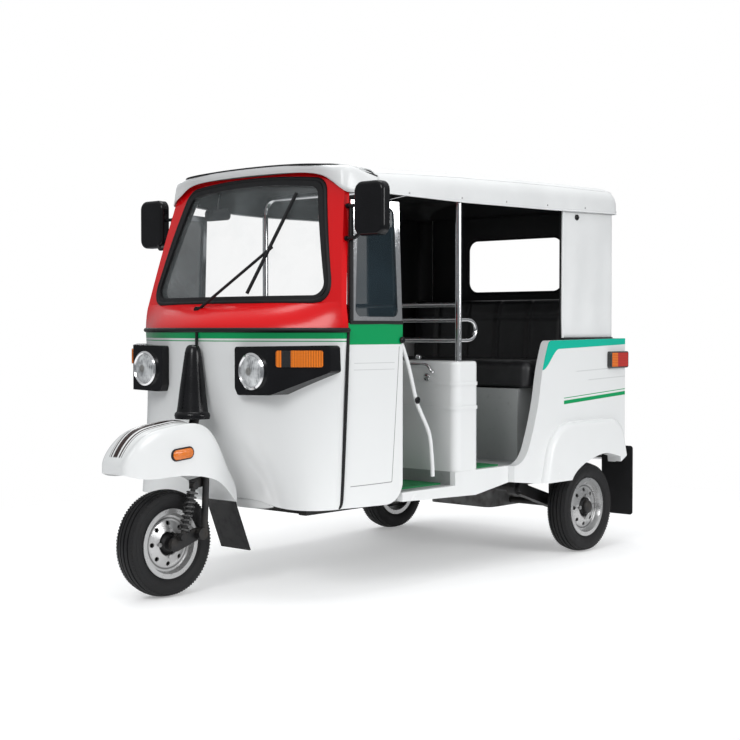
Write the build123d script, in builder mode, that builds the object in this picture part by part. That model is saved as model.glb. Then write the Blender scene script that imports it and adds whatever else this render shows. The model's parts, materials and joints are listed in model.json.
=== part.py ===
"""Passenger three-wheel auto rickshaw as an assembly of separate solids.

Millimetres, +Z up, the vehicle faces -Y and its left side is +X. The origin is on the ground
under the middle of the whole vehicle. Lengths called stations are measured back from the front axle.
"""
import math
import os

from build123d import *

# Wheels and layout
WHEELBASE = 2000
TRACK = 1150
TYRE_RADIUS = 205
TYRE_WIDTH = 104
RIM_RADIUS = 122
RIM_WIDTH = 76
HUB_RADIUS = 38
AXLE_RADIUS = 12
RUNNING_GAP = 0.05
SEAT_GAP = 0.3
FRONT_REACH = 245
TAIL_REACH = 395

# Body heights and widths
BELT_Z = 1020
NOSE_BOTTOM_Z = 340
FLOOR_TOP_Z = 380
FLOOR_THICK = 36
ENTRY_STEP = 55
BODY_HALF = 590
TAIL_HALF = 620
FENDER_HALF = 652
WALL = 28
SIDE_WALL = 24
SCREEN_TOP_Z = 1640
CANOPY_EDGE_Z = 1545
CANOPY_RISE = 170
CANOPY_WALL = 14
QUARTER_TOP_Z = 972

# Stations behind the front axle: the rear body keeps its place on the rear axle, and the partition
# stands a little ahead of the middle between the door post and the bench
SEAM = 415
DOOR_POST = 716
BENCH_AHEAD = 390
REAR_OVERHANG = 318
PARTITION_DEEP = 160
PARTITION_AHEAD = 28
QUARTER_TOP_BACK = 62
CURTAIN_BACK = 160
BENCH_FRONT = WHEELBASE - BENCH_AHEAD
PARTITION_FRONT = (DOOR_POST + BENCH_FRONT - PARTITION_DEEP) / 2 - PARTITION_AHEAD
PARTITION_REAR = PARTITION_FRONT + PARTITION_DEEP
QUARTER_TOP_FRONT = BENCH_FRONT + QUARTER_TOP_BACK
CURTAIN_FRONT = QUARTER_TOP_FRONT + CURTAIN_BACK
BODY_REAR = WHEELBASE + REAR_OVERHANG
TAIL_THICK = 32

# Steering
STEER_RAKE = 16
STEER_POINT = (192, 800)
COLUMN_RADIUS = 19

FRONT_AXLE_Y = (FRONT_REACH - WHEELBASE - TAIL_REACH) / 2
REAR_AXLE_Y = FRONT_AXLE_Y + WHEELBASE


def at(station):
    """Y of a station measured back from the front axle."""
    return FRONT_AXLE_Y + station


def save(builder, name):
    """Label one finished piece and write its STEP file."""
    builder.part.label = name
    export_step(builder.part, f"parts/{name}.step")


os.makedirs("parts", exist_ok=True)


def plan_band(height, points, depth, shift=0.0):
    """Plan slice of a curved front: a band of the given depth behind a mirrored smooth curve.

    The points run from the middle to the left corner as (x, station).
    """
    half = [(x, at(y) + shift) for x, y in points]
    front = [(-x, y) for x, y in reversed(half[1:])] + half
    back = [(x, y + depth) for x, y in front]
    with BuildSketch(Plane.XY.offset(height)) as band:
        with BuildLine():
            Spline(*front)
            Line(front[-1], back[-1])
            Spline(*back)
            Line(back[0], front[0])
        make_face()
    return band.sketch


# Front plan curves from the bottom of the nose up to the belt: middle, cheek and corner points
NOSE_CURVES = (
    (NOSE_BOTTOM_Z, ((0, 405), (170, 366), (330, 288), (450, 276), (540, SEAM - WALL))),
    (474, ((0, 340), (170, 305), (330, 264), (455, 286), (548, SEAM - WALL))),
    (664, ((0, 224), (180, 222), (335, 246), (462, 302), (556, SEAM - WALL))),
    (860, ((0, 182), (180, 200), (335, 244), (462, 308), (566, SEAM - WALL))),
    (BELT_Z, ((0, 168), (180, 192), (340, 244), (464, 310), (578, SEAM - WALL))),
)
# Curves of the hood from the belt up to the foot of the glass, and of the pillars up to the head rail
GLASS_FOOT_Z = 1126
PILLAR_FOOT = SEAM - WALL
HOOD_CURVES = (
    (BELT_Z, NOSE_CURVES[-1][1]),
    (1066, ((0, 196), (180, 219), (340, 267), (462, 327), (574, PILLAR_FOOT))),
    (1102, ((0, 256), (180, 270), (340, 306), (461, 349), (568, PILLAR_FOOT + 1))),
    (GLASS_FOOT_Z, ((0, 318), (180, 325), (340, 345), (460, 371), (564, PILLAR_FOOT + 5))),
)
SCREEN_CURVES = (
    HOOD_CURVES[-1],
    (1390, ((0, 400), (180, 404), (340, 417), (430, 430), (520, PILLAR_FOOT + 60))),
    (SCREEN_TOP_Z, ((0, 476), (160, 479), (290, 488), (380, 499), (478, PILLAR_FOOT + 120))),
)


def nose_bands(depth, shift=0.0):
    """Slices of the nose, each a band of the given depth."""
    return [plan_band(z, points, depth, shift) for z, points in NOSE_CURVES]


def hood_bands(depth, shift=0.0):
    """Slices of the hood, each a band of the given depth."""
    return [plan_band(z, points, depth, shift) for z, points in HOOD_CURVES]


def screen_bands(depth, shift=0.0):
    """Slices of the windscreen surround above the hood, each a band of the given depth."""
    return [plan_band(z, points, depth, shift) for z, points in SCREEN_CURVES]


def steer_y(height):
    """Y of the steering axis at a height."""
    rake = math.tan(math.radians(STEER_RAKE))
    return at(STEER_POINT[0]) + (height - STEER_POINT[1]) * rake


def steer_plane(height):
    """Plane square to the steering axis where it passes a height."""
    lean = math.radians(STEER_RAKE)
    axis = (0, math.sin(lean), math.cos(lean))
    return Plane(origin=(0, steer_y(height), height), x_dir=(1, 0, 0), z_dir=axis)


# Nose panel, with the head tube that the steering column turns in
HEAD_TUBE_RADIUS = COLUMN_RADIUS + 8
HEAD_TUBE_LOW = 694
HEAD_TUBE_HIGH = 950
HEAD_TUBE_LENGTH = (HEAD_TUBE_HIGH - HEAD_TUBE_LOW) / math.cos(math.radians(STEER_RAKE))
with BuildPart() as nose_panel:
    loft(sections=nose_bands(WALL))
    with BuildSketch(steer_plane(HEAD_TUBE_LOW)):
        Circle(HEAD_TUBE_RADIUS)
    extrude(amount=HEAD_TUBE_LENGTH)
    with BuildSketch(steer_plane(HEAD_TUBE_LOW)):
        Circle(COLUMN_RADIUS + RUNNING_GAP)
    extrude(amount=HEAD_TUBE_LENGTH, mode=Mode.SUBTRACT)
save(nose_panel, "nose_panel")

# Windscreen opening: rounded trapezium seen from the front
GLASS_HALF_FOOT = 512
GLASS_HALF_HEAD = 384
GLASS_HEAD_Z = 1596
GLASS_CORNER = 62
SEAL_WIDTH = 20


def glass_outline(inset):
    """Front view of the windscreen opening, drawn in by an inset."""
    foot = GLASS_FOOT_Z + 6 + inset
    head = GLASS_HEAD_Z - inset
    crown = 22
    with BuildSketch(Plane.XZ.offset(-at(150))) as outline:
        with BuildLine():
            Line((-GLASS_HALF_FOOT + inset, foot), (GLASS_HALF_FOOT - inset, foot))
            Line((GLASS_HALF_FOOT - inset, foot), (GLASS_HALF_HEAD - inset, head))
            ThreePointArc((GLASS_HALF_HEAD - inset, head), (0, head + crown), (-GLASS_HALF_HEAD + inset, head))
            Line((-GLASS_HALF_HEAD + inset, head), (-GLASS_HALF_FOOT + inset, foot))
        make_face()
        fillet(outline.vertices(), GLASS_CORNER - inset)
    return outline.sketch


SCREEN_CUT = 500
with BuildPart() as windscreen_frame:
    loft(sections=hood_bands(WALL))
    loft(sections=screen_bands(WALL))
    extrude(glass_outline(0), amount=-SCREEN_CUT, mode=Mode.SUBTRACT)
save(windscreen_frame, "windscreen_frame")

SEAL_PROUD = 5
with BuildPart() as windscreen_seal:
    extrude(glass_outline(SEAT_GAP), amount=-SCREEN_CUT)
    extrude(glass_outline(SEAL_WIDTH), amount=-SCREEN_CUT, mode=Mode.SUBTRACT)
    loft(sections=screen_bands(WALL + 2 * SEAL_PROUD, -SEAL_PROUD), mode=Mode.INTERSECT)
save(windscreen_seal, "windscreen_seal")

GLASS_THICK = 6
GLASS_SET_BACK = 9
with BuildPart() as windscreen_glass:
    extrude(glass_outline(SEAL_WIDTH + SEAT_GAP), amount=-SCREEN_CUT)
    loft(sections=screen_bands(GLASS_THICK, GLASS_SET_BACK), mode=Mode.INTERSECT)
save(windscreen_glass, "windscreen_glass")

# White cap over the windscreen: a shallow shell that runs back under the canopy
CAP_REAR = 640
CAP_THICK = 16
CAP_SEAT_Z = SCREEN_TOP_Z - 0.7
CAP_CURVES = (
    (452, 372, CAP_SEAT_Z + 21, CAP_SEAT_Z + 34),
    (530, 470, CAP_SEAT_Z + 18, CAP_SEAT_Z + 44),
    (CAP_REAR, 526, CAP_SEAT_Z - 22, CAP_SEAT_Z + 48),
)


def cap_slice(station, half, edge, top):
    """Cross slice of the cap: an arched band."""
    with BuildSketch(Plane.XZ.offset(-at(station))) as band:
        with BuildLine():
            ThreePointArc((-half, edge), (0, top), (half, edge))
            Line((half, edge), (half - CAP_THICK, edge - CAP_THICK))
            inner = half - CAP_THICK
            foot = edge - CAP_THICK
            ThreePointArc((inner, foot), (0, top - CAP_THICK), (-inner, foot))
            Line((-inner, foot), (-half, edge))
        make_face()
    return band.sketch


with BuildPart() as front_cap:
    loft(sections=[cap_slice(*curve) for curve in CAP_CURVES])
save(front_cap, "front_cap")

# Cowl side panels: fixed, twisted from the nose corner to the door post
COWL_TOP_Z = 1046
COWL_CORNER = 90
COWL_LEVELS = ((NOSE_BOTTOM_Z, 540), (474, 548), (664, 556), (860, 566), (COWL_TOP_Z, 580))


def cowl_slice(height, front_x, side):
    """Plan slice of a cowl side panel between the nose and the door post."""
    front = at(SEAM + SEAT_GAP)
    rear = at(DOOR_POST)
    bulge = (front_x + BODY_HALF) / 2 + 6
    with BuildSketch(Plane.XY.offset(height)) as band:
        with BuildLine():
            ThreePointArc((side * front_x, front), (side * bulge, (front + rear) / 2), (side * BODY_HALF, rear))
            Line((side * BODY_HALF, rear), (side * (BODY_HALF - SIDE_WALL), rear))
            ThreePointArc(
                (side * (BODY_HALF - SIDE_WALL), rear),
                (side * (bulge - SIDE_WALL), (front + rear) / 2),
                (side * (front_x - SIDE_WALL), front),
            )
            Line((side * (front_x - SIDE_WALL), front), (side * front_x, front))
        make_face()
    return band.sketch


def cowl_outline():
    """Side view of a cowl panel, with its rounded lower rear corner."""
    front = at(SEAM)
    rear = at(DOOR_POST + 1)
    with BuildSketch(Plane.YZ) as outline:
        with BuildLine():
            Polyline(
                (front, NOSE_BOTTOM_Z), (rear, NOSE_BOTTOM_Z), (rear, COWL_TOP_Z), (front, COWL_TOP_Z), close=True
            )
        make_face()
        fillet(outline.vertices().sort_by(Axis((0, 0, 0), (1, -1, 0)))[-1], COWL_CORNER)
    return outline.sketch


def quarter_slice(height, front, rear, thick, set_in, side):
    """Plan slice of the quarter window between its front and rear posts."""
    out_front = (side * (front[0] - set_in), front[1])
    out_rear = (side * (rear[0] - set_in), rear[1])
    in_rear = (side * (rear[0] - set_in - thick), rear[1])
    in_front = (side * (front[0] - set_in - thick), front[1])
    with BuildSketch(Plane.XY.offset(height)) as band:
        with BuildLine():
            Polyline(out_front, out_rear, in_rear, in_front, close=True)
        make_face()
    return band.sketch


QUARTER_FOOT_Z = COWL_TOP_Z + SEAT_GAP
QUARTER_HEAD_Z = 1520
QUARTER_FRAME = 20
QUARTER_GLASS = 5
QUARTER_FOOT = ((579, at(SEAM + 12)), (BODY_HALF - 2, at(DOOR_POST)))
QUARTER_HEAD = ((507, at(SEAM + 92)), (BODY_HALF - 20, at(DOOR_POST)))
QUARTER_BAR = 24
QUARTER_CORNER = 26
COWL_REACH = BODY_HALF + 30


def quarter_prism(inset):
    """Side view of the quarter window glass, drawn in by an inset."""
    foot_front = QUARTER_FOOT[0][1] + inset + 4
    head_front = QUARTER_HEAD[0][1] + inset + 4
    rear = at(DOOR_POST) - inset
    with BuildSketch(Plane.YZ) as outline:
        with BuildLine():
            Polyline(
                (foot_front, QUARTER_FOOT_Z + inset),
                (rear, QUARTER_FOOT_Z + inset),
                (rear, QUARTER_HEAD_Z - inset),
                (head_front, QUARTER_HEAD_Z - inset),
                close=True,
            )
        make_face()
        fillet(outline.vertices(), min(QUARTER_CORNER, 0.4 * (rear - head_front)))
    return outline.sketch


for name, side in (("left", 1), ("right", -1)):
    with BuildPart() as cowl_side:
        loft(sections=[cowl_slice(z, x, side) for z, x in COWL_LEVELS])
        extrude(cowl_outline(), amount=side * COWL_REACH, mode=Mode.INTERSECT)
    save(cowl_side, f"cowl_side_{name}")

    with BuildPart() as quarter_frame:
        loft(
            sections=[
                quarter_slice(QUARTER_FOOT_Z, *QUARTER_FOOT, QUARTER_FRAME, 0, side),
                quarter_slice(QUARTER_HEAD_Z, *QUARTER_HEAD, QUARTER_FRAME, 0, side),
            ],
            ruled=True,
        )
        extrude(quarter_prism(QUARTER_BAR), amount=side * COWL_REACH, mode=Mode.SUBTRACT)
    save(quarter_frame, f"quarter_frame_{name}")

    pane_set_in = (QUARTER_FRAME - QUARTER_GLASS) / 2
    with BuildPart() as quarter_glass:
        loft(
            sections=[
                quarter_slice(QUARTER_FOOT_Z, *QUARTER_FOOT, QUARTER_GLASS, pane_set_in, side),
                quarter_slice(QUARTER_HEAD_Z, *QUARTER_HEAD, QUARTER_GLASS, pane_set_in, side),
            ],
            ruled=True,
        )
        extrude(quarter_prism(QUARTER_BAR + SEAT_GAP), amount=side * COWL_REACH, mode=Mode.INTERSECT)
    save(quarter_glass, f"quarter_glass_{name}")

# Floor pan: driver's floor, a step up to the passenger floor, and the wheel well behind the nose
ENTRY_FLOOR_Z = FLOOR_TOP_Z + ENTRY_STEP
FLOOR_HALF = BODY_HALF - SIDE_WALL - 4
FLOOR_FRONT = SEAM - 105
WELL_RADIUS = 330
with BuildPart() as floor_pan:
    with BuildSketch(Plane.YZ.offset(-FLOOR_HALF)):
        with BuildLine():
            Polyline(
                (at(FLOOR_FRONT), FLOOR_TOP_Z - FLOOR_THICK),
                (at(FLOOR_FRONT), FLOOR_TOP_Z),
                (at(PARTITION_FRONT), FLOOR_TOP_Z),
                (at(PARTITION_FRONT), ENTRY_FLOOR_Z),
                (at(BENCH_FRONT), ENTRY_FLOOR_Z),
                (at(BENCH_FRONT), ENTRY_FLOOR_Z - FLOOR_THICK),
                (at(PARTITION_FRONT + FLOOR_THICK), ENTRY_FLOOR_Z - FLOOR_THICK),
                (at(PARTITION_FRONT + FLOOR_THICK), FLOOR_TOP_Z - FLOOR_THICK),
                close=True,
            )
        make_face()
    extrude(amount=2 * FLOOR_HALF)
    with Locations((0, at(150), FLOOR_TOP_Z)):
        Cylinder(WELL_RADIUS, 4 * FLOOR_THICK, mode=Mode.SUBTRACT)
    loft(sections=nose_bands(WALL + 1 + SEAT_GAP, -1), mode=Mode.SUBTRACT)
    with BuildSketch(Plane.XY.offset(FLOOR_TOP_Z - 2 * FLOOR_THICK)):
        with BuildLine():
            Polyline(
                (465, at(FLOOR_FRONT - 5)),
                (510, at(SEAM - 30)),
                (FLOOR_HALF - 2, at(DOOR_POST)),
                (FLOOR_HALF + 40, at(DOOR_POST)),
                (FLOOR_HALF + 40, at(FLOOR_FRONT - 5)),
                close=True,
            )
        make_face()
        mirror(about=Plane.YZ)
    extrude(amount=4 * FLOOR_THICK, mode=Mode.SUBTRACT)
save(floor_pan, "floor_pan")

# Partition box behind the driver, with two pressed ribs round its front and sides
PARTITION_TOP_Z = 890
PARTITION_CORNER = 34
RIB_PROUD = 4
with BuildPart() as partition_box:
    with BuildSketch(Plane.XY.offset(ENTRY_FLOOR_Z + SEAT_GAP)) as foot:
        with Locations((0, at((PARTITION_FRONT + PARTITION_REAR) / 2))):
            RectangleRounded(2 * BODY_HALF, PARTITION_REAR - PARTITION_FRONT, PARTITION_CORNER)
    extrude(amount=PARTITION_TOP_Z - ENTRY_FLOOR_Z - SEAT_GAP)
    for rib_z in (690, 790):
        with BuildSketch(Plane.XY.offset(rib_z)):
            with Locations((0, at((PARTITION_FRONT + PARTITION_REAR) / 2))):
                RectangleRounded(
                    2 * (BODY_HALF + RIB_PROUD),
                    PARTITION_REAR - PARTITION_FRONT + 2 * RIB_PROUD,
                    PARTITION_CORNER + RIB_PROUD,
                )
        extrude(amount=14)
    fillet(partition_box.faces().sort_by(Axis.Z)[-1].edges(), 12)
save(partition_box, "partition_box")

# Side sills: the white skirt under the doorway and the passenger entry
SILL_FOOT_Z = 330
SILL_IN = FLOOR_HALF + SEAT_GAP
QUARTER_FOOT_FRONT = BENCH_FRONT - 188
for name, side in (("left", 1), ("right", -1)):
    with BuildPart() as side_sill:
        with BuildSketch(Plane.YZ.offset(side * SILL_IN)):
            with BuildLine():
                Polyline(
                    (at(DOOR_POST + SEAT_GAP), FLOOR_TOP_Z),
                    (at(PARTITION_FRONT - 4), FLOOR_TOP_Z),
                    (at(PARTITION_FRONT - 4), ENTRY_FLOOR_Z),
                    (at(QUARTER_FOOT_FRONT - SEAT_GAP), ENTRY_FLOOR_Z),
                    (at(QUARTER_FOOT_FRONT - SEAT_GAP), SILL_FOOT_Z + 34),
                    (at(QUARTER_FOOT_FRONT - 232), SILL_FOOT_Z),
                    (at(DOOR_POST + SEAT_GAP), SILL_FOOT_Z + 14),
                    close=True,
                )
            make_face()
        extrude(amount=side * (BODY_HALF - SILL_IN))
    save(side_sill, f"side_sill_{name}")

# Rubber floor mats for the driver and the passengers
MAT_THICK = 6
MAT_FRONT = DOOR_POST - 156
MAT_REAR = (PARTITION_REAR + BENCH_FRONT) / 2 - 12.5
with BuildPart() as floor_mats:
    with BuildSketch(Plane.XY.offset(FLOOR_TOP_Z + SEAT_GAP)):
        with Locations((0, at((MAT_FRONT + PARTITION_FRONT) / 2))):
            Rectangle(2 * FLOOR_HALF - 90, PARTITION_FRONT - MAT_FRONT - 20)
    extrude(amount=MAT_THICK)
    with BuildSketch(Plane.XY.offset(ENTRY_FLOOR_Z + SEAT_GAP)):
        with Locations((0, at((PARTITION_REAR + MAT_REAR) / 2))):
            Rectangle(2 * FLOOR_HALF - 10, MAT_REAR - PARTITION_REAR - 20)
    extrude(amount=MAT_THICK)
save(floor_mats, "floor_mats")

# Driver's seat: base box and cushion
DRIVER_BASE_TOP = 640
DRIVER_HALF = 230
DRIVER_FRONT = PARTITION_FRONT - 280
with BuildPart() as driver_seat_base:
    with BuildSketch(Plane.XY.offset(FLOOR_TOP_Z + MAT_THICK + 2 * SEAT_GAP)):
        with Locations((0, at((DRIVER_FRONT + 20 + PARTITION_FRONT - 2 * RIB_PROUD) / 2))):
            RectangleRounded(2 * DRIVER_HALF - 40, PARTITION_FRONT - 2 * RIB_PROUD - DRIVER_FRONT - 20, 24)
    extrude(amount=DRIVER_BASE_TOP - FLOOR_TOP_Z - MAT_THICK - 2 * SEAT_GAP)
save(driver_seat_base, "driver_seat_base")

with BuildPart() as driver_seat:
    with BuildSketch(Plane.XY.offset(DRIVER_BASE_TOP + SEAT_GAP)):
        with Locations((0, at((DRIVER_FRONT + PARTITION_FRONT - 2 * RIB_PROUD) / 2))):
            RectangleRounded(2 * DRIVER_HALF, PARTITION_FRONT - 2 * RIB_PROUD - DRIVER_FRONT, 50)
    extrude(amount=110)
    fillet(driver_seat.faces().sort_by(Axis.Z)[-1].edges(), 30)
save(driver_seat, "driver_seat")

# Passenger bench: base over the engine bay, cushion and back
BENCH_BASE_HALF = 500
BENCH_BASE_TOP = 758
BENCH_REAR = WHEELBASE + 190
CUSHION_REAR = WHEELBASE + 110
with BuildPart() as bench_base:
    with BuildSketch(Plane.YZ.offset(-BENCH_BASE_HALF)):
        with BuildLine():
            Polyline(
                (at(BENCH_FRONT + SEAT_GAP), ENTRY_FLOOR_Z - FLOOR_THICK),
                (at(BENCH_FRONT + SEAT_GAP), BENCH_BASE_TOP),
                (at(BENCH_REAR), BENCH_BASE_TOP),
                (at(BENCH_REAR), BENCH_BASE_TOP - 30),
                (at(BENCH_FRONT + 30), BENCH_BASE_TOP - 30),
                (at(BENCH_FRONT + 30), ENTRY_FLOOR_Z - FLOOR_THICK),
                close=True,
            )
        make_face()
    extrude(amount=2 * BENCH_BASE_HALF)
    for side in (1, -1):
        with BuildSketch(Plane.YZ.offset(side * BENCH_BASE_HALF)):
            with BuildLine():
                Polyline(
                    (at(BENCH_FRONT + SEAT_GAP), ENTRY_FLOOR_Z - FLOOR_THICK),
                    (at(BENCH_FRONT + SEAT_GAP), BENCH_BASE_TOP),
                    (at(BENCH_REAR), BENCH_BASE_TOP),
                    (at(BENCH_REAR), ENTRY_FLOOR_Z - FLOOR_THICK),
                    close=True,
                )
            make_face()
        extrude(amount=-side * 16)
save(bench_base, "bench_base")

QUARTER_THICK = 40
BENCH_HALF = TAIL_HALF - QUARTER_THICK - 6
with BuildPart() as bench_cushion:
    with BuildSketch(Plane.XY.offset(BENCH_BASE_TOP + SEAT_GAP)):
        with Locations((0, at((BENCH_FRONT - 20 + CUSHION_REAR) / 2))):
            RectangleRounded(2 * BENCH_HALF, CUSHION_REAR - BENCH_FRONT + 20, 40)
    extrude(amount=125)
    fillet(bench_cushion.faces().sort_by(Axis.Z)[-1].edges(), 34)
save(bench_cushion, "bench_cushion")

BACK_TOP_Z = 1190
BACK_FRONT = CUSHION_REAR + 6
BACK_LEAN = 34
BACK_THICK = 100
with BuildPart() as bench_back:
    with BuildSketch(Plane.YZ.offset(-BENCH_HALF + 8)):
        with BuildLine():
            Polyline(
                (at(BACK_FRONT), BENCH_BASE_TOP + SEAT_GAP),
                (at(BACK_FRONT + BACK_LEAN), BACK_TOP_Z),
                (at(BACK_FRONT + BACK_LEAN + BACK_THICK), BACK_TOP_Z),
                (at(BACK_FRONT + BACK_LEAN + BACK_THICK), BENCH_BASE_TOP + SEAT_GAP),
                close=True,
            )
        make_face()
    extrude(amount=2 * BENCH_HALF - 16)
    fillet(bench_back.faces().sort_by(Axis.Z)[-1].edges(), 24)
save(bench_back, "bench_back")

# Chrome poles, bows under the canopy and three rails behind the driver
TUBE_RADIUS = 13
CANOPY_HALF = 598
POLE_X = CANOPY_HALF - CANOPY_WALL - SEAT_GAP - TUBE_RADIUS
POLE_STATION = PARTITION_FRONT + 40
POLE_TOP_Z = CANOPY_EDGE_Z + 80
RAIL_HEIGHTS = (977, 1061, 1124)
with BuildPart() as grab_rails:
    with BuildLine() as hoop:
        FilletPolyline(
            (-POLE_X, at(POLE_STATION), PARTITION_TOP_Z + SEAT_GAP),
            (-POLE_X, at(POLE_STATION), POLE_TOP_Z),
            (POLE_X, at(POLE_STATION), POLE_TOP_Z),
            (POLE_X, at(POLE_STATION), PARTITION_TOP_Z + SEAT_GAP),
            radius=70,
        )
    with BuildSketch(Plane(origin=hoop.line @ 0, z_dir=hoop.line % 0)):
        Circle(TUBE_RADIUS)
    sweep(path=hoop.line)
    for rail_z in RAIL_HEIGHTS:
        with BuildSketch(Plane.YZ.offset(-POLE_X)):
            with Locations((at(POLE_STATION), rail_z)):
                Circle(TUBE_RADIUS - 3)
        extrude(amount=2 * POLE_X)
save(grab_rails, "grab_rails")

# Canopy: a soft tub turned over, open in front and closed by a short skirt behind
CANOPY_REAR = BODY_REAR - 14
# The run from the cap to the poles in 91 equal steps, on which two slices stand
CANOPY_STEP = (POLE_STATION - CAP_REAR) / 91
REAR_SPREAD = 8
CANOPY_SLICES = (
    (CAP_REAR + SEAT_GAP, CANOPY_HALF - 66, CANOPY_EDGE_Z + 12, SCREEN_TOP_Z + 50),
    (CAP_REAR + 28 * CANOPY_STEP, CANOPY_HALF - 30, CANOPY_EDGE_Z + 6, SCREEN_TOP_Z + 54),
    (CAP_REAR + 58 * CANOPY_STEP, CANOPY_HALF - 9, CANOPY_EDGE_Z + 2, SCREEN_TOP_Z + 58),
    (POLE_STATION, CANOPY_HALF, CANOPY_EDGE_Z, SCREEN_TOP_Z + 64),
    (WHEELBASE - 300, CANOPY_HALF + REAR_SPREAD, CANOPY_EDGE_Z + 8, CANOPY_EDGE_Z + CANOPY_RISE + 4),
    (CANOPY_REAR - 72, CANOPY_HALF + REAR_SPREAD, CANOPY_EDGE_Z + 22, CANOPY_EDGE_Z + CANOPY_RISE + 12),
    (CANOPY_REAR - 24, CANOPY_HALF + REAR_SPREAD - 12, CANOPY_EDGE_Z + 23, CANOPY_EDGE_Z + CANOPY_RISE + 4),
    (CANOPY_REAR, CANOPY_HALF + REAR_SPREAD - 40, CANOPY_EDGE_Z + 24, CANOPY_EDGE_Z + CANOPY_RISE - 18),
)
SHOULDER_DROP = 50
SHOULDER_RADIUS = 74


def canopy_slice(station, half, edge, top):
    """Cross slice of the canopy, filled: upright skirts, round shoulders and a low crown."""
    with BuildSketch(Plane.XZ.offset(-at(station))) as profile:
        with BuildLine():
            Polyline((-half, top - SHOULDER_DROP), (-half, edge), (half, edge), (half, top - SHOULDER_DROP))
            ThreePointArc((half, top - SHOULDER_DROP), (0, top), (-half, top - SHOULDER_DROP))
        make_face()
        fillet(profile.vertices().sort_by(Axis.Y)[-2:], SHOULDER_RADIUS)
    return profile.sketch


with BuildPart() as canopy:
    loft(sections=[canopy_slice(*profile) for profile in CANOPY_SLICES], ruled=True)
    hollow = [(y, half - CANOPY_WALL, edge - 60, top - CANOPY_WALL) for y, half, edge, top in CANOPY_SLICES]
    hollow[0] = (hollow[0][0] - 1, *hollow[0][1:])
    hollow[-1] = (hollow[-1][0] - CANOPY_WALL, *hollow[-1][1:])
    loft(sections=[canopy_slice(*profile) for profile in hollow], ruled=True, mode=Mode.SUBTRACT)
save(canopy, "canopy")

# Canvas curtains: two sides with a rounded rear corner, and the back with its window
CURTAIN_THICK = 9
CURTAIN_FOOT_Z = QUARTER_TOP_Z + 12
CURTAIN_TOP_Z = CANOPY_EDGE_Z + 48
CURTAIN_X = CANOPY_HALF + REAR_SPREAD - CANOPY_WALL - 0.8
CURTAIN_REAR = CANOPY_REAR - CANOPY_WALL - 6
CORNER_RADIUS = 58
for name, side in (("left", 1), ("right", -1)):
    with BuildPart() as curtain:
        with BuildSketch(Plane.XY.offset(CURTAIN_FOOT_Z)):
            with BuildLine() as run:
                corner = (side * CURTAIN_X, at(CURTAIN_REAR - CORNER_RADIUS))
                rear_end = (side * (CURTAIN_X - CORNER_RADIUS), at(CURTAIN_REAR))
                Line((side * CURTAIN_X, at(CURTAIN_FRONT)), corner)
                RadiusArc(corner, rear_end, -side * CORNER_RADIUS)
                offset(amount=CURTAIN_THICK, side=Side.LEFT if side > 0 else Side.RIGHT)
            make_face()
        extrude(amount=CURTAIN_TOP_Z - CURTAIN_FOOT_Z)
    save(curtain, f"curtain_{name}")

REAR_WINDOW = (580, 270, 1342)
with BuildPart() as curtain_rear:
    with BuildSketch(Plane.XZ.offset(-at(CURTAIN_REAR))):
        with Locations((0, (CURTAIN_FOOT_Z + CURTAIN_TOP_Z) / 2)):
            Rectangle(2 * (CURTAIN_X - CORNER_RADIUS - SEAT_GAP), CURTAIN_TOP_Z - CURTAIN_FOOT_Z)
        with Locations((0, REAR_WINDOW[2])):
            RectangleRounded(REAR_WINDOW[0], REAR_WINDOW[1], 56, mode=Mode.SUBTRACT)
    extrude(amount=CURTAIN_THICK)
save(curtain_rear, "curtain_rear")

# Rear quarter panels: S-shaped entry edge, wheel arch and a raised fender round it
ARCH_TOP_Z = TYRE_RADIUS + 236
ARCH_FRONT = WHEELBASE - 200
ARCH_REAR = WHEELBASE + 250
QUARTER_FOOT_EDGE = 345


def quarter_outline():
    """Side view of a rear quarter panel."""
    with BuildSketch(Plane.YZ) as outline:
        with BuildLine():
            Spline(
                (at(QUARTER_FOOT_FRONT), ENTRY_FLOOR_Z),
                (at(QUARTER_FOOT_FRONT + 123), 540),
                (at(QUARTER_FOOT_FRONT + 184), 720),
                (at(QUARTER_TOP_FRONT + 8), QUARTER_TOP_Z),
                tangents=((1, 0.05), (0.45, 1)),
            )
            Polyline(
                (at(QUARTER_TOP_FRONT + 8), QUARTER_TOP_Z),
                (at(BODY_REAR), QUARTER_TOP_Z + 8),
                (at(BODY_REAR), ARCH_TOP_Z - 8),
                (at(BODY_REAR - 200), QUARTER_FOOT_EDGE),
                (at(QUARTER_FOOT_FRONT + 178), QUARTER_FOOT_EDGE),
                (at(QUARTER_FOOT_FRONT), QUARTER_FOOT_EDGE + 20),
                (at(QUARTER_FOOT_FRONT), ENTRY_FLOOR_Z),
            )
        make_face()
        fillet(outline.vertices().sort_by(Axis((0, 0, 0), (-0.3, 1, 0)))[-1], 30)
    return outline.sketch


def arch_outline():
    """Side view of the wheel arch opening."""
    with BuildSketch(Plane.YZ) as outline:
        with BuildLine():
            Spline(
                (at(ARCH_FRONT), QUARTER_FOOT_EDGE - 60),
                (at(ARCH_FRONT + 84), ARCH_TOP_Z - 46),
                (at(WHEELBASE + 30), ARCH_TOP_Z),
                (at(ARCH_REAR - 20), ARCH_TOP_Z - 16),
                tangents=((0.15, 1), (1, -0.25)),
            )
            Polyline(
                (at(ARCH_REAR - 20), ARCH_TOP_Z - 16),
                (at(ARCH_REAR + 4), QUARTER_FOOT_EDGE - 60),
                (at(ARCH_FRONT), QUARTER_FOOT_EDGE - 60),
            )
        make_face()
    return outline.sketch


FENDER_TOP_Z = 606
FENDER_FRONT = WHEELBASE - 378
FENDER_REAR = BODY_REAR - 16


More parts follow.
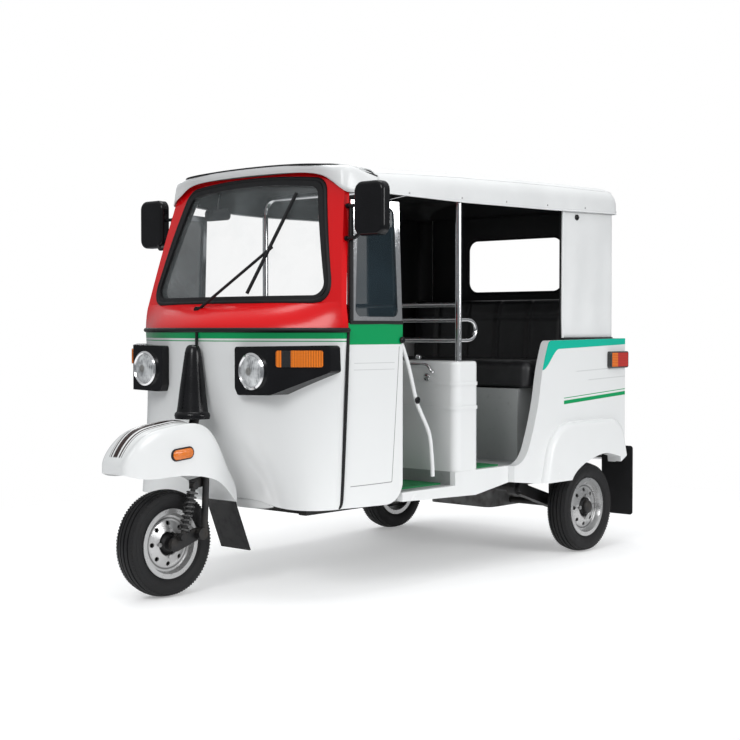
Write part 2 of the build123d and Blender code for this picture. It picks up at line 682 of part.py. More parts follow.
def fender_outline():
    """Side view of the raised fender: straight flanks and round shoulders."""
    with BuildSketch(Plane.YZ) as outline:
        with BuildLine():
            Polyline(
                (at(FENDER_FRONT), QUARTER_FOOT_EDGE),
                (at(FENDER_FRONT + 66), FENDER_TOP_Z),
                (at(FENDER_REAR - 50), FENDER_TOP_Z),
                (at(FENDER_REAR), ARCH_TOP_Z - 8),
                (at(FENDER_REAR - 180), QUARTER_FOOT_EDGE),
                close=True,
            )
        make_face()
        top = outline.vertices().group_by(Axis.Y)[-1].sort_by(Axis.X)
        fillet(top[0], 190)
        fillet(outline.vertices().group_by(Axis.Y)[-1].sort_by(Axis.X)[-1], 110)
    return outline.sketch


FENDER_ROUND = 24
for name, side in (("left", 1), ("right", -1)):
    inner_x = side * (TAIL_HALF - QUARTER_THICK)
    with BuildPart() as raised_fender:
        extrude(fender_outline().moved(Location((inner_x, 0, 0))), amount=side * (FENDER_HALF - abs(inner_x)))
        rim = raised_fender.faces().sort_by(Axis.X)[-1 if side > 0 else 0]
        fillet(rim.edges().filter_by(lambda edge: edge.center().Z > ARCH_TOP_Z), FENDER_ROUND)

    with BuildPart() as rear_quarter:
        extrude(quarter_outline().moved(Location((inner_x, 0, 0))), amount=side * QUARTER_THICK)
        add(raised_fender.part)
        extrude(arch_outline(), amount=side * (FENDER_HALF + 10), mode=Mode.SUBTRACT)
    save(rear_quarter, f"rear_quarter_{name}")

# Tail panel with the engine lid hung in it on a rod along its top edge
TAIL_FOOT_Z = ARCH_TOP_Z
TAIL_TOP_Z = QUARTER_TOP_Z + 8
TAIL_PANEL_HALF = 600
LID_HALF = 350
LID_FOOT_Z = 530
LID_AXIS_Z = 820
LID_THICK = 24
LID_GAP = 6
LID_ROD = 6
tail_y = at(BODY_REAR + SEAT_GAP)
lid_y = tail_y + TAIL_THICK / 2
lid_round = LID_THICK / 2
with BuildPart() as tail_panel:
    with BuildSketch(Plane.XZ.offset(-tail_y)) as tail_face:
        with Locations((0, (TAIL_FOOT_Z + TAIL_TOP_Z) / 2)):
            RectangleRounded(2 * TAIL_PANEL_HALF, TAIL_TOP_Z - TAIL_FOOT_Z, 40)
        opening_foot = LID_FOOT_Z - LID_GAP
        opening_top = LID_AXIS_Z + lid_round + LID_GAP
        with Locations((0, (opening_foot + opening_top) / 2)):
            Rectangle(2 * (LID_HALF + LID_GAP), opening_top - opening_foot, mode=Mode.SUBTRACT)
    extrude(amount=-TAIL_THICK)
    outer_edge = tail_panel.faces().sort_by(Axis.Y)[-1].outer_wire().edges()
    fillet(outer_edge, 14)
    with BuildSketch(Plane.YZ.offset(-TAIL_PANEL_HALF + 60)):
        with Locations((lid_y, LID_AXIS_Z)):
            Circle(LID_ROD + RUNNING_GAP)
    extrude(amount=2 * (TAIL_PANEL_HALF - 60), mode=Mode.SUBTRACT)
save(tail_panel, "tail_panel")

LID_ROD_REACH = 40
with BuildPart() as engine_lid:
    with BuildSketch(Plane.YZ.offset(-LID_HALF)):
        with BuildLine():
            Line((lid_y - lid_round, LID_AXIS_Z), (lid_y - lid_round, LID_FOOT_Z))
            Line((lid_y - lid_round, LID_FOOT_Z), (lid_y + lid_round, LID_FOOT_Z))
            Line((lid_y + lid_round, LID_FOOT_Z), (lid_y + lid_round, LID_AXIS_Z))
            RadiusArc((lid_y + lid_round, LID_AXIS_Z), (lid_y - lid_round, LID_AXIS_Z), -lid_round)
        make_face()
    extrude(amount=2 * LID_HALF)
    with BuildSketch(Plane.XZ.offset(-(lid_y + lid_round))):
        with GridLocations(0, 34, 1, 5):
            with Locations((0, (LID_FOOT_Z + LID_AXIS_Z) / 2)):
                SlotOverall(2 * LID_HALF - 160, 14)
    extrude(amount=LID_THICK, mode=Mode.SUBTRACT)
    with BuildSketch(Plane.YZ.offset(-LID_HALF - LID_ROD_REACH)):
        with Locations((lid_y, LID_AXIS_Z)):
            Circle(LID_ROD)
    extrude(amount=2 * (LID_HALF + LID_ROD_REACH))
save(engine_lid, "engine_lid")

# Tail lamps on the rear corners
LAMP_LENGTH = 156
LAMP_PROUD = 22
with BuildPart() as tail_lamps:
    for side in (1, -1):
        with BuildSketch(Plane.YZ.offset(side * (TAIL_HALF + SEAT_GAP))):
            with Locations((at(BODY_REAR - LAMP_LENGTH / 2 - 2), 880)):
                RectangleRounded(LAMP_LENGTH, 78, 10)
        extrude(amount=side * LAMP_PROUD)
    fillet(tail_lamps.faces().sort_by(Axis.X)[-1].edges(), 6)
    fillet(tail_lamps.faces().sort_by(Axis.X)[0].edges(), 6)
save(tail_lamps, "tail_lamps")

# Chassis: two rails, cross members, the pivot tube of the rear arms and a tow eye
RAIL_X = 250
RAIL_WIDE = 40
RAIL_TOP_Z = FLOOR_TOP_Z - FLOOR_THICK - SEAT_GAP
RAIL_DEEP = 62
CHASSIS_FRONT = 500
CHASSIS_REAR = WHEELBASE + 240
ARM_PIVOT = WHEELBASE - 340
ARM_PIVOT_Z = RAIL_TOP_Z - RAIL_DEEP / 2
ARM_X = 450
PIVOT_RADIUS = 20
TOW_EYE_RADIUS = 14
TOW_EYE_THICK = 14
TOW_EYE_STATION = CHASSIS_REAR + 40
with BuildPart() as chassis:
    rail_middle = at((CHASSIS_FRONT + CHASSIS_REAR) / 2)
    rail_z = RAIL_TOP_Z - RAIL_DEEP / 2
    with Locations((RAIL_X, rail_middle, rail_z), (-RAIL_X, rail_middle, rail_z)):
        Box(RAIL_WIDE, CHASSIS_REAR - CHASSIS_FRONT, RAIL_DEEP)
    for station in (CHASSIS_FRONT + 20, PARTITION_FRONT - 25, ARM_PIVOT - 260, CHASSIS_REAR - 20):
        with Locations((0, at(station), rail_z)):
            Box(2 * RAIL_X, 40, RAIL_DEEP - 10)
    with BuildSketch(Plane.YZ.offset(-ARM_X - 40)):
        with Locations((at(ARM_PIVOT), ARM_PIVOT_Z)):
            Circle(PIVOT_RADIUS)
    extrude(amount=2 * (ARM_X + 40))
    with BuildSketch(Plane.YZ.offset(-TOW_EYE_THICK / 2)):
        with Locations((at(TOW_EYE_STATION), rail_z)):
            Circle(TOW_EYE_RADIUS + 14)
        with Locations((at(CHASSIS_REAR + 12), rail_z)):
            Rectangle(40, 2 * TOW_EYE_RADIUS + 20)
        with Locations((at(TOW_EYE_STATION), rail_z)):
            Circle(TOW_EYE_RADIUS, mode=Mode.SUBTRACT)
    extrude(amount=TOW_EYE_THICK)
save(chassis, "chassis")

# Rear arms: an eye round the pivot tube, a bar, the bearing housing and the stub axle
HUB_END = 514
WHEEL_X = TRACK / 2
ARM_HUB_RADIUS = 40
EYE_WALL = 14
for name, side in (("left", 1), ("right", -1)):
    with BuildPart() as rear_arm:
        with BuildSketch(Plane.YZ.offset(side * (ARM_X - 22))):
            with Locations((at(ARM_PIVOT), ARM_PIVOT_Z)):
                Circle(PIVOT_RADIUS + EYE_WALL)
            with Locations((REAR_AXLE_Y, TYRE_RADIUS)):
                Circle(ARM_HUB_RADIUS)
            with BuildLine():
                Polyline(
                    (at(ARM_PIVOT), ARM_PIVOT_Z + 26),
                    (REAR_AXLE_Y, TYRE_RADIUS + 30),
                    (REAR_AXLE_Y, TYRE_RADIUS - 30),
                    (at(ARM_PIVOT), ARM_PIVOT_Z - 26),
                    close=True,
                )
            make_face()
            with Locations((at(ARM_PIVOT), ARM_PIVOT_Z)):
                Circle(PIVOT_RADIUS + RUNNING_GAP, mode=Mode.SUBTRACT)
        extrude(amount=side * 44)
        with BuildSketch(Plane.YZ.offset(side * (ARM_X + 22))):
            with Locations((REAR_AXLE_Y, TYRE_RADIUS)):
                Circle(ARM_HUB_RADIUS - 6)
        extrude(amount=side * (HUB_END - ARM_X - 22))
        with BuildSketch(Plane.YZ.offset(side * HUB_END)):
            with Locations((REAR_AXLE_Y, TYRE_RADIUS)):
                Circle(AXLE_RADIUS)
        extrude(amount=side * (WHEEL_X + 44 - HUB_END))
    save(rear_arm, f"rear_arm_{name}")

# Rear dampers with their springs, from each arm up to the bench base
DAMPER_RADIUS = 17
COIL_RADIUS = 27
DAMPER_AHEAD = 40
with BuildPart() as rear_dampers:
    arm_fall = (ARM_PIVOT_Z - 4 - TYRE_RADIUS) / (WHEELBASE - ARM_PIVOT)
    damper_foot = TYRE_RADIUS + 30 + arm_fall * (DAMPER_AHEAD + DAMPER_RADIUS) + SEAT_GAP
    damper_head = BENCH_BASE_TOP - 30 - SEAT_GAP
    for side in (1, -1):
        with BuildSketch(Plane.XY.offset(damper_foot)):
            with Locations((side * ARM_X, at(WHEELBASE - DAMPER_AHEAD))):
                Circle(DAMPER_RADIUS)
        extrude(amount=damper_head - damper_foot)
        for turn in range(9):
            with BuildSketch(Plane.XY.offset(damper_foot + 90 + 36 * turn)):
                with Locations((side * ARM_X, at(WHEELBASE - DAMPER_AHEAD))):
                    Circle(COIL_RADIUS)
            extrude(amount=13)
save(rear_dampers, "rear_dampers")

# Engine with its gearbox in one block on two lugs, and the drive shafts
ENGINE_HALF = 185
ENGINE_FRONT = WHEELBASE - 170
ENGINE_REAR = WHEELBASE + 170
with BuildPart() as engine_block:
    with BuildSketch(Plane.XY.offset(180)):
        with Locations((0, at((ENGINE_FRONT + ENGINE_REAR) / 2))):
            RectangleRounded(2 * ENGINE_HALF, ENGINE_REAR - ENGINE_FRONT, 40)
    extrude(amount=240)
    with BuildSketch(Plane.XY.offset(420)):
        with Locations((0, at((ENGINE_FRONT + ENGINE_REAR) / 2))):
            RectangleRounded(2 * ENGINE_HALF - 90, ENGINE_REAR - ENGINE_FRONT - 90, 40)
    extrude(amount=190)
    with Locations((0, at((ENGINE_FRONT + ENGINE_REAR) / 2), rail_z)):
        Box(2 * (RAIL_X - RAIL_WIDE / 2 - SEAT_GAP), 90, 40)
save(engine_block, "engine_block")

with BuildPart() as drive_shafts:
    for side in (1, -1):
        with BuildSketch(Plane.YZ.offset(side * (ENGINE_HALF + SEAT_GAP))):
            with Locations((REAR_AXLE_Y, TYRE_RADIUS)):
                Circle(15)
        extrude(amount=side * (ARM_X - 22 - ENGINE_HALF - 2 * SEAT_GAP))
save(drive_shafts, "drive_shafts")

# Rear bumper tube on two brackets that stand on the chassis rails
BUMPER_RADIUS = 17
BUMPER_Z = 404
BUMPER_HALF = 600
BRACKET_FOOT = RAIL_TOP_Z + SEAT_GAP
with BuildPart() as rear_bumper:
    bumper_y = at(WHEELBASE + TAIL_REACH - BUMPER_RADIUS)
    with BuildSketch(Plane.YZ.offset(-BUMPER_HALF)):
        with Locations((bumper_y, BUMPER_Z)):
            Circle(BUMPER_RADIUS)
    extrude(amount=2 * BUMPER_HALF)
    with Locations((RAIL_X, 0, 0), (-RAIL_X, 0, 0)):
        with Locations((0, (bumper_y + at(CHASSIS_REAR - 50)) / 2, (BRACKET_FOOT + BUMPER_Z) / 2)):
            Box(26, bumper_y - at(CHASSIS_REAR - 50), BUMPER_Z - BRACKET_FOOT)
save(rear_bumper, "rear_bumper")

# Rear mudflaps hung behind the tail panel
FLAP_THICK = 6
with BuildPart() as rear_mudflaps:
    flap_y = tail_y + TAIL_THICK + SEAT_GAP
    with BuildSketch(Plane.XZ.offset(-flap_y)):
        with Locations((557, 300), (-557, 300)):
            RectangleRounded(170, 330, 14)
    extrude(amount=-FLAP_THICK)
save(rear_mudflaps, "rear_mudflaps")

# Wheels: tyre and pressed steel rim with its hub, turned about the axle
BEAD_HALF = RIM_WIDTH / 2 - 2
DISC_THICK = 7
VENT_COUNT = 8


def wheel_plane(x):
    """Plane through an axle whose X runs outwards from the wheel's middle and whose Y is radial."""
    centre_y = FRONT_AXLE_Y if x == 0 else REAR_AXLE_Y
    outward = -1 if x < 0 else 1
    return Plane(origin=(x, centre_y, TYRE_RADIUS), x_dir=(outward, 0, 0), z_dir=(0, -outward, 0))


def wheel_axis(x):
    """Axle line of a wheel."""
    return Axis((x, FRONT_AXLE_Y if x == 0 else REAR_AXLE_Y, TYRE_RADIUS), (1, 0, 0))


for name, wheel_x in (("front", 0), ("rear_left", WHEEL_X), ("rear_right", -WHEEL_X)):
    half = TYRE_WIDTH / 2
    with BuildPart() as tyre:
        with BuildSketch(wheel_plane(wheel_x)):
            with BuildLine():
                Line((-BEAD_HALF, RIM_RADIUS + SEAT_GAP), (BEAD_HALF, RIM_RADIUS + SEAT_GAP))
                Line((BEAD_HALF, RIM_RADIUS + SEAT_GAP), (BEAD_HALF, RIM_RADIUS + 14))
                Spline(
                    (BEAD_HALF, RIM_RADIUS + 14),
                    (half, RIM_RADIUS + 46),
                    (half - 11, TYRE_RADIUS - 9),
                    tangents=((0.7, 1), (-0.5, 1)),
                )
                ThreePointArc((half - 11, TYRE_RADIUS - 9), (0, TYRE_RADIUS), (-half + 11, TYRE_RADIUS - 9))
                Spline(
                    (-half + 11, TYRE_RADIUS - 9),
                    (-half, RIM_RADIUS + 46),
                    (-BEAD_HALF, RIM_RADIUS + 14),
                    tangents=((-0.5, -1), (0.7, -1)),
                )
                Line((-BEAD_HALF, RIM_RADIUS + 14), (-BEAD_HALF, RIM_RADIUS + SEAT_GAP))
            make_face()
        revolve(axis=wheel_axis(wheel_x))
    save(tyre, f"tyre_{name}")

    lip = RIM_WIDTH / 2 + 3
    with BuildPart() as rim:
        with BuildSketch(wheel_plane(wheel_x)):
            with BuildLine():
                Polyline(
                    (-lip, RIM_RADIUS + 12),
                    (-BEAD_HALF - SEAT_GAP, RIM_RADIUS + 12),
                    (-BEAD_HALF - SEAT_GAP, RIM_RADIUS),
                    (BEAD_HALF + SEAT_GAP, RIM_RADIUS),
                    (BEAD_HALF + SEAT_GAP, RIM_RADIUS + 12),
                    (lip, RIM_RADIUS + 12),
                    (lip, RIM_RADIUS - 6),
                    (20, RIM_RADIUS - 14),
                    (12 + DISC_THICK, RIM_RADIUS - 34),
                    (22 + DISC_THICK, HUB_RADIUS + 12),
                    (14 + DISC_THICK, HUB_RADIUS),
                    (36, HUB_RADIUS - 8),
                    (36, AXLE_RADIUS + RUNNING_GAP),
                    (-36, AXLE_RADIUS + RUNNING_GAP),
                    (-36, HUB_RADIUS - 4),
                    (14, HUB_RADIUS),
                    (22, HUB_RADIUS + 12),
                    (12, RIM_RADIUS - 34),
                    (10, RIM_RADIUS - 10),
                    (-lip, RIM_RADIUS - 8),
                    close=True,
                )
            make_face()
        revolve(axis=wheel_axis(wheel_x))
        with BuildSketch(Plane.YZ.offset(wheel_x)):
            with Locations((wheel_axis(wheel_x).position.Y, TYRE_RADIUS)):
                with PolarLocations(RIM_RADIUS - 44, VENT_COUNT):
                    Circle(9)
        extrude(amount=RIM_WIDTH, both=True, mode=Mode.SUBTRACT)
    save(rim, f"rim_{name}")

# Steering column with the swept-back handlebar
COLUMN_FOOT_Z = 580
BAR_Z = 985
BAR_RADIUS = 11
with BuildPart() as steering_column:
    column_length = (BAR_Z + 14 - COLUMN_FOOT_Z) / math.cos(math.radians(STEER_RAKE))
    with BuildSketch(steer_plane(COLUMN_FOOT_Z)):
        Circle(COLUMN_RADIUS)
    extrude(amount=column_length)
    with BuildLine() as bar:
        bar_y = steer_y(BAR_Z)
        FilletPolyline(
            (-262, bar_y + 350, BAR_Z + 26),
            (-244, bar_y + 220, BAR_Z + 20),
            (-34, bar_y, BAR_Z),
            (34, bar_y, BAR_Z),
            (244, bar_y + 220, BAR_Z + 20),
            (262, bar_y + 350, BAR_Z + 26),
            radius=50,
        )
    with BuildSketch(Plane(origin=bar.line @ 0, z_dir=bar.line % 0)):
        Circle(BAR_RADIUS)
    sweep(path=bar.line)
save(steering_column, "steering_column")

# Fork: crown under the column and one leg on the left that carries the arm pivot and the damper bracket
LEG_X = 88
LEG_RADIUS = 13
FRONT_PIVOT = (112, 236)
PIVOT_PIN = 10
EYE_X = LEG_X - LEG_RADIUS
ARM_IN_X = TYRE_WIDTH / 2 + 6
EYE_WIDTH = 2 * LEG_RADIUS
DAMPER_TOP = (74, 424)
DAMPER_FOOT = (14, 232)
DAMPER_PIN = 6
crown_low = COLUMN_FOOT_Z - 44
with BuildPart() as fork:
    with BuildSketch(steer_plane(crown_low)):
        Circle(30)
    extrude(amount=(COLUMN_FOOT_Z - crown_low) / math.cos(math.radians(STEER_RAKE)))
    with BuildLine() as leg:
        FilletPolyline(
            (0, steer_y(crown_low + 20), crown_low + 20),
            (LEG_X, at(140), crown_low),
            (LEG_X, at(FRONT_PIVOT[0] + 14), FRONT_PIVOT[1] + 6),
            radius=30,
        )
    with BuildSketch(Plane(origin=leg.line @ 0, z_dir=leg.line % 0)):
        Circle(LEG_RADIUS)
    sweep(path=leg.line)
    with BuildSketch(Plane.YZ.offset(EYE_X)):
        with Locations((at(FRONT_PIVOT[0]), FRONT_PIVOT[1])):
            Circle(PIVOT_PIN + 13)
    extrude(amount=EYE_WIDTH)
    with BuildSketch(Plane.YZ.offset(EYE_X)):
        with Locations((at(FRONT_PIVOT[0]), FRONT_PIVOT[1])):
            Circle(PIVOT_PIN + RUNNING_GAP)
    extrude(amount=EYE_WIDTH, mode=Mode.SUBTRACT)
    with BuildSketch(Plane.YZ.offset(EYE_X - 4)):
        with BuildLine():
            Polyline(
                (at(DAMPER_TOP[0] - 10), DAMPER_TOP[1] + 22),
                (at(DAMPER_TOP[0] + 70), DAMPER_TOP[1] + 34),
                (at(DAMPER_TOP[0] + 70), DAMPER_TOP[1] - 6),
                (at(DAMPER_TOP[0] + 26), DAMPER_TOP[1] - 12),
                (at(DAMPER_TOP[0] - 10), DAMPER_TOP[1] - 12),
                close=True,
            )
        make_face()
    extrude(amount=5)
    with BuildSketch(Plane.YZ.offset(EYE_X)):
        with Locations((at(DAMPER_TOP[0]), DAMPER_TOP[1])):
            Circle(DAMPER_PIN)
    extrude(amount=EYE_WIDTH)
save(fork, "fork")

# Front arm with the stub axle and the two pins
ARM_THICK = EYE_X - ARM_IN_X - 1
with BuildPart() as front_arm:
    with BuildSketch(Plane.YZ.offset(ARM_IN_X)):
        with Locations((FRONT_AXLE_Y, TYRE_RADIUS)):
            Circle(27)
        with Locations((at(FRONT_PIVOT[0]), FRONT_PIVOT[1])):
            Circle(22)
        with BuildLine():
            Polyline(
                (FRONT_AXLE_Y - 6, TYRE_RADIUS + 26),
                (at(FRONT_PIVOT[0]) - 6, FRONT_PIVOT[1] + 21),
                (at(FRONT_PIVOT[0]) + 6, FRONT_PIVOT[1] - 21),
                (FRONT_AXLE_Y + 6, TYRE_RADIUS - 26),
                close=True,
            )
        make_face()
        with Locations((at(DAMPER_FOOT[0]), DAMPER_FOOT[1])):
            Circle(15)
    extrude(amount=ARM_THICK)
    with BuildSketch(Plane.YZ.offset(ARM_IN_X + ARM_THICK)):
        with Locations((at(FRONT_PIVOT[0]), FRONT_PIVOT[1])):
            Circle(PIVOT_PIN)
    extrude(amount=EYE_WIDTH)
    with BuildSketch(Plane.YZ.offset(ARM_IN_X + ARM_THICK)):
        with Locations((at(DAMPER_FOOT[0]), DAMPER_FOOT[1])):
            Circle(DAMPER_PIN)
    extrude(amount=EYE_WIDTH)
    with BuildSketch(Plane.YZ.offset(ARM_IN_X)):
        with Locations((FRONT_AXLE_Y, TYRE_RADIUS)):
            Circle(AXLE_RADIUS)
    extrude(amount=-(ARM_IN_X + 44))
save(front_arm, "front_arm")

# Front damper and its spring between the two pins
COIL_TURNS = 6
with BuildPart() as front_damper:
    rise = (DAMPER_TOP[1] - DAMPER_FOOT[1], DAMPER_TOP[0] - DAMPER_FOOT[0])
    strut = math.hypot(*rise)
    strut_plane = Plane(
        origin=(LEG_X, at(DAMPER_FOOT[0]), DAMPER_FOOT[1]), x_dir=(1, 0, 0), z_dir=(0, rise[1], rise[0])
    )
    with BuildSketch(strut_plane):
        Circle(10)
    extrude(amount=strut)
    for turn in range(COIL_TURNS):
        with BuildSketch(strut_plane.offset(34 + turn * 21)):
            Circle(13.5)
        extrude(amount=11)
    for end in (DAMPER_FOOT, DAMPER_TOP):
        with BuildSketch(Plane.YZ.offset(EYE_X + 1)):
            with Locations((at(end[0]), end[1])):
                Circle(DAMPER_PIN + 8)
        extrude(amount=EYE_WIDTH - 2)
    for end in (DAMPER_FOOT, DAMPER_TOP):
        with BuildSketch(Plane.YZ.offset(EYE_X)):
            with Locations((at(end[0]), end[1])):
                Circle(DAMPER_PIN + RUNNING_GAP)
        extrude(amount=EYE_WIDTH, mode=Mode.SUBTRACT)
save(front_damper, "front_damper")

# Front fender, turned with the wheel: slices give station, half width, lower edge, crest and crown drop inside
FENDER_WALL = 4
FENDER_SLICES = (
    (-FRONT_REACH, 52, 486, 512, 6),
    (-205, 88, 474, 592, 10),
    (-110, 102, 466, 652, 5),
    (40, 108, 466, 672, 4),
    (130, 108, 452, 652, 7),
    (200, 106, 424, 566, 13),
    (250, 104, 378, 470, 20),
    (284, 102, 345, 366, 26),
)
FENDER_SHOULDER = 0.42


def fender_slice(station, half, low, crest):
    """Cross slice of the front fender, filled: upright sides under a round crown."""
    shoulder = crest - FENDER_SHOULDER * (crest - low)
    crown = (crest + shoulder) / 2 + (crest - shoulder) * 0.34
    with BuildSketch(Plane.XZ.offset(-at(station))) as profile:
        with BuildLine():
            Polyline((half, shoulder), (half, low), (-half, low), (-half, shoulder))
            Spline(
                (-half, shoulder),
                (-0.66 * half, crown),
                (0, crest),
                (0.66 * half, crown),
                (half, shoulder),
                tangents=((0, 1), (0, -1)),
            )
        make_face()
    return profile.sketch


with BuildPart() as front_fender:
    loft(sections=[fender_slice(y, half, low, crest) for y, half, low, crest, drop in FENDER_SLICES])
    inside = [
        (y, half - FENDER_WALL, low - 40, crest - drop) for y, half, low, crest, drop in FENDER_SLICES
    ]
    inside[0] = (inside[0][0] + FENDER_WALL, *inside[0][1:])
    inside[-1] = (inside[-1][0] - FENDER_WALL, *inside[-1][1:])
    loft(sections=[fender_slice(*profile) for profile in inside], mode=Mode.SUBTRACT)
    with BuildSketch(steer_plane(COLUMN_FOOT_Z)):
        Circle(COLUMN_RADIUS + SEAT_GAP)
    extrude(amount=200, mode=Mode.SUBTRACT)
save(front_fender, "front_fender")

# Amber markers on the sides of the fender
MARKER_X = 108.3
MARKER_Z = 552
with BuildPart() as fender_markers:
    for side in (1, -1):
        with BuildSketch(Plane.YZ.offset(side * MARKER_X)):
            with Locations((at(2), MARKER_Z)):
                Ellipse(36, 15)
        extrude(amount=side * 8)
    fillet(fender_markers.faces().sort_by(Axis.X)[-1].edges(), 4)
    fillet(fender_markers.faces().sort_by(Axis.X)[0].edges(), 4)
save(fender_markers, "fender_markers")

# Front mudflap behind the wheel
with BuildPart() as front_mudflap:
    with BuildSketch(Plane.YZ.offset(-84)):
        with BuildLine():
            Polyline(
                (at(284 + SEAT_GAP), 366),
                (at(290 + SEAT_GAP), 366),
                (at(300), 330),
                (at(376), 142),
                (at(370), 140),
                (at(294), 328),
                (at(284 + SEAT_GAP), 346),
                close=True,
            )
        make_face()
    extrude(amount=168)
save(front_mudflap, "front_mudflap")

# Ribbed cone that covers the steering column on the nose
CONE_FOOT_Z = 692
CONE_TOP_Z = 962
CONE_STATION = 152
CONE_FOOT_RADIUS = 66
CONE_TOP_RADIUS = 30
CONE_RIBS = 9
with BuildPart() as column_cone:
    cone_plane = Plane(origin=(0, at(CONE_STATION), CONE_FOOT_Z), x_dir=(1, 0, 0), z_dir=(0, -1, 0))
    with BuildSketch(cone_plane):
        with BuildLine():
            height = CONE_TOP_Z - CONE_FOOT_Z
            pitch = (height - 40) / CONE_RIBS
            fall = (CONE_FOOT_RADIUS - CONE_TOP_RADIUS) / CONE_RIBS
            steps = [(0, 0), (CONE_FOOT_RADIUS + 10, 0), (CONE_FOOT_RADIUS + 10, 12)]
            for rib in range(CONE_RIBS):
                radius = CONE_FOOT_RADIUS - rib * fall
                steps.append((radius, 12 + rib * pitch))
                steps.append((radius, 12 + (rib + 0.6) * pitch))
                steps.append((radius - fall - 4, 12 + (rib + 0.7) * pitch))
                steps.append((radius - fall - 4, 12 + (rib + 1) * pitch))
            steps.append((CONE_TOP_RADIUS, 12 + CONE_RIBS * pitch))
            steps.append((CONE_TOP_RADIUS - 4, height))
            steps.append((0, height))
            Polyline(*steps, close=True)
        make_face()
    revolve(axis=Axis((0, at(CONE_STATION), 0), (0, 0, 1)))
    loft(sections=nose_bands(300, -SEAT_GAP), mode=Mode.SUBTRACT)
    with BuildSketch(steer_plane(600)):
        Circle(HEAD_TUBE_RADIUS + SEAT_GAP)
    extrude(amount=400, mode=Mode.SUBTRACT)
save(column_cone, "column_cone")

# Lamp pods: black wedges that start square beside the nose and die away towards the corners
HEADLAMP_X = 312
HEADLAMP_Z = 864
HEADLAMP_RADIUS = 70
POD_FACE = 172
POD_IN_X = 212
POD_TURN_X = 396
POD_END_X = 566
POD_END_FACE = 330
turn_angle = math.degrees(math.atan2(POD_END_FACE - POD_FACE, POD_END_X - POD_TURN_X))


def pod_plan(side):
    """Plan of a lamp pod."""
    with BuildSketch(Plane.XY.offset(700)) as plan:
        with BuildLine():
            Polyline(
                (side * POD_IN_X, at(420)),
                (side * POD_IN_X, at(POD_FACE)),
                (side * POD_TURN_X, at(POD_FACE)),
                (side * POD_END_X, at(POD_END_FACE)),
                (side * POD_END_X, at(420)),
                close=True,
            )
        make_face()
    return plan.sketch


def pod_front(side):
    """Front view of a lamp pod."""
    with BuildSketch(Plane.XZ.offset(-at(100))) as front:
        with BuildLine():
            Polyline(
                (side * POD_IN_X, 956),
                (side * POD_END_X, 962),
                (side * POD_END_X, 862),
                (side * 400, 776),
                (side * (POD_IN_X + 16), 772),
                (side * POD_IN_X, 800),
                close=True,
            )
        make_face()
        fillet(front.vertices(), 12)
    return front.sketch


def indicator_plane(side, depth):
    """Plane on the slanted face of a pod, sunk by a depth."""
    along = (POD_TURN_X + POD_END_X) / 2
    turn = math.radians(turn_angle)
    outward = (side * math.sin(turn), -math.cos(turn), 0)
    middle = (side * along, at((POD_FACE + POD_END_FACE) / 2), 912)
    origin = tuple(m - depth * o for m, o in zip(middle, outward))
    return Plane(origin=origin, x_dir=(side * math.cos(turn), math.sin(turn), 0), z_dir=outward)


LENS_LENGTH = 176
LENS_HEIGHT = 62
LENS_DEPTH = 24
LENS_PROUD = 8
pods = []
for side in (1, -1):
    with BuildPart() as pod:
        extrude(pod_plan(side), amount=300)
        extrude(pod_front(side), amount=-400, mode=Mode.INTERSECT)
        loft(sections=nose_bands(400, -SEAT_GAP), mode=Mode.SUBTRACT)
        with BuildSketch(Plane.XZ.offset(-at(100))):
            with Locations((side * HEADLAMP_X, HEADLAMP_Z)):
                Circle(HEADLAMP_RADIUS + SEAT_GAP)
        extrude(amount=-(POD_FACE - 100 + 40), mode=Mode.SUBTRACT)
        with BuildSketch(indicator_plane(side, LENS_DEPTH - LENS_PROUD)):
            RectangleRounded(LENS_LENGTH + 2 * SEAT_GAP, LENS_HEIGHT + 2 * SEAT_GAP, 8)
        extrude(amount=LENS_DEPTH + 40, mode=Mode.SUBTRACT)
    pods.append(pod.part.solids().sort_by(SortBy.VOLUME)[-1])

with BuildPart() as lamp_pods:
    add(pods)
save(lamp_pods, "lamp_pods")

with BuildPart() as front_indicators:
    for side in (1, -1):
        with BuildSketch(indicator_plane(side, LENS_DEPTH - LENS_PROUD - SEAT_GAP)):
            RectangleRounded(LENS_LENGTH, LENS_HEIGHT, 8)
        extrude(amount=LENS_DEPTH)
save(front_indicators, "front_indicators")

# Headlamps: a round reflector cup, rim and domed lens in one turned piece
LENS_DOME = 14
with BuildPart() as headlamps:
    for side in (1, -1):
        lamp_y = at(POD_FACE)
        lens_half = HEADLAMP_RADIUS - 12
        lens_ball = (lens_half**2 + LENS_DOME**2) / (2 * LENS_DOME)
        lens_mid = -10 - LENS_DOME + lens_ball - math.sqrt(lens_ball**2 - lens_half**2 / 4)
        with BuildSketch(Plane(origin=(side * HEADLAMP_X, lamp_y, HEADLAMP_Z), x_dir=(1, 0, 0), z_dir=(0, 0, 1))):
            with BuildLine():
                Polyline(
                    (0, 40 - SEAT_GAP),
                    (HEADLAMP_RADIUS, 40 - SEAT_GAP),
                    (HEADLAMP_RADIUS, -10),
                    (HEADLAMP_RADIUS - 7, -15),
                    (lens_half, -10),
                )
                ThreePointArc((lens_half, -10), (lens_half / 2, lens_mid), (0, -10 - LENS_DOME))
                Line((0, -10 - LENS_DOME), (0, 40 - SEAT_GAP))
            make_face()
        revolve(axis=Axis((side * HEADLAMP_X, lamp_y, HEADLAMP_Z), (0, 1, 0)))
save(headlamps, "headlamps")

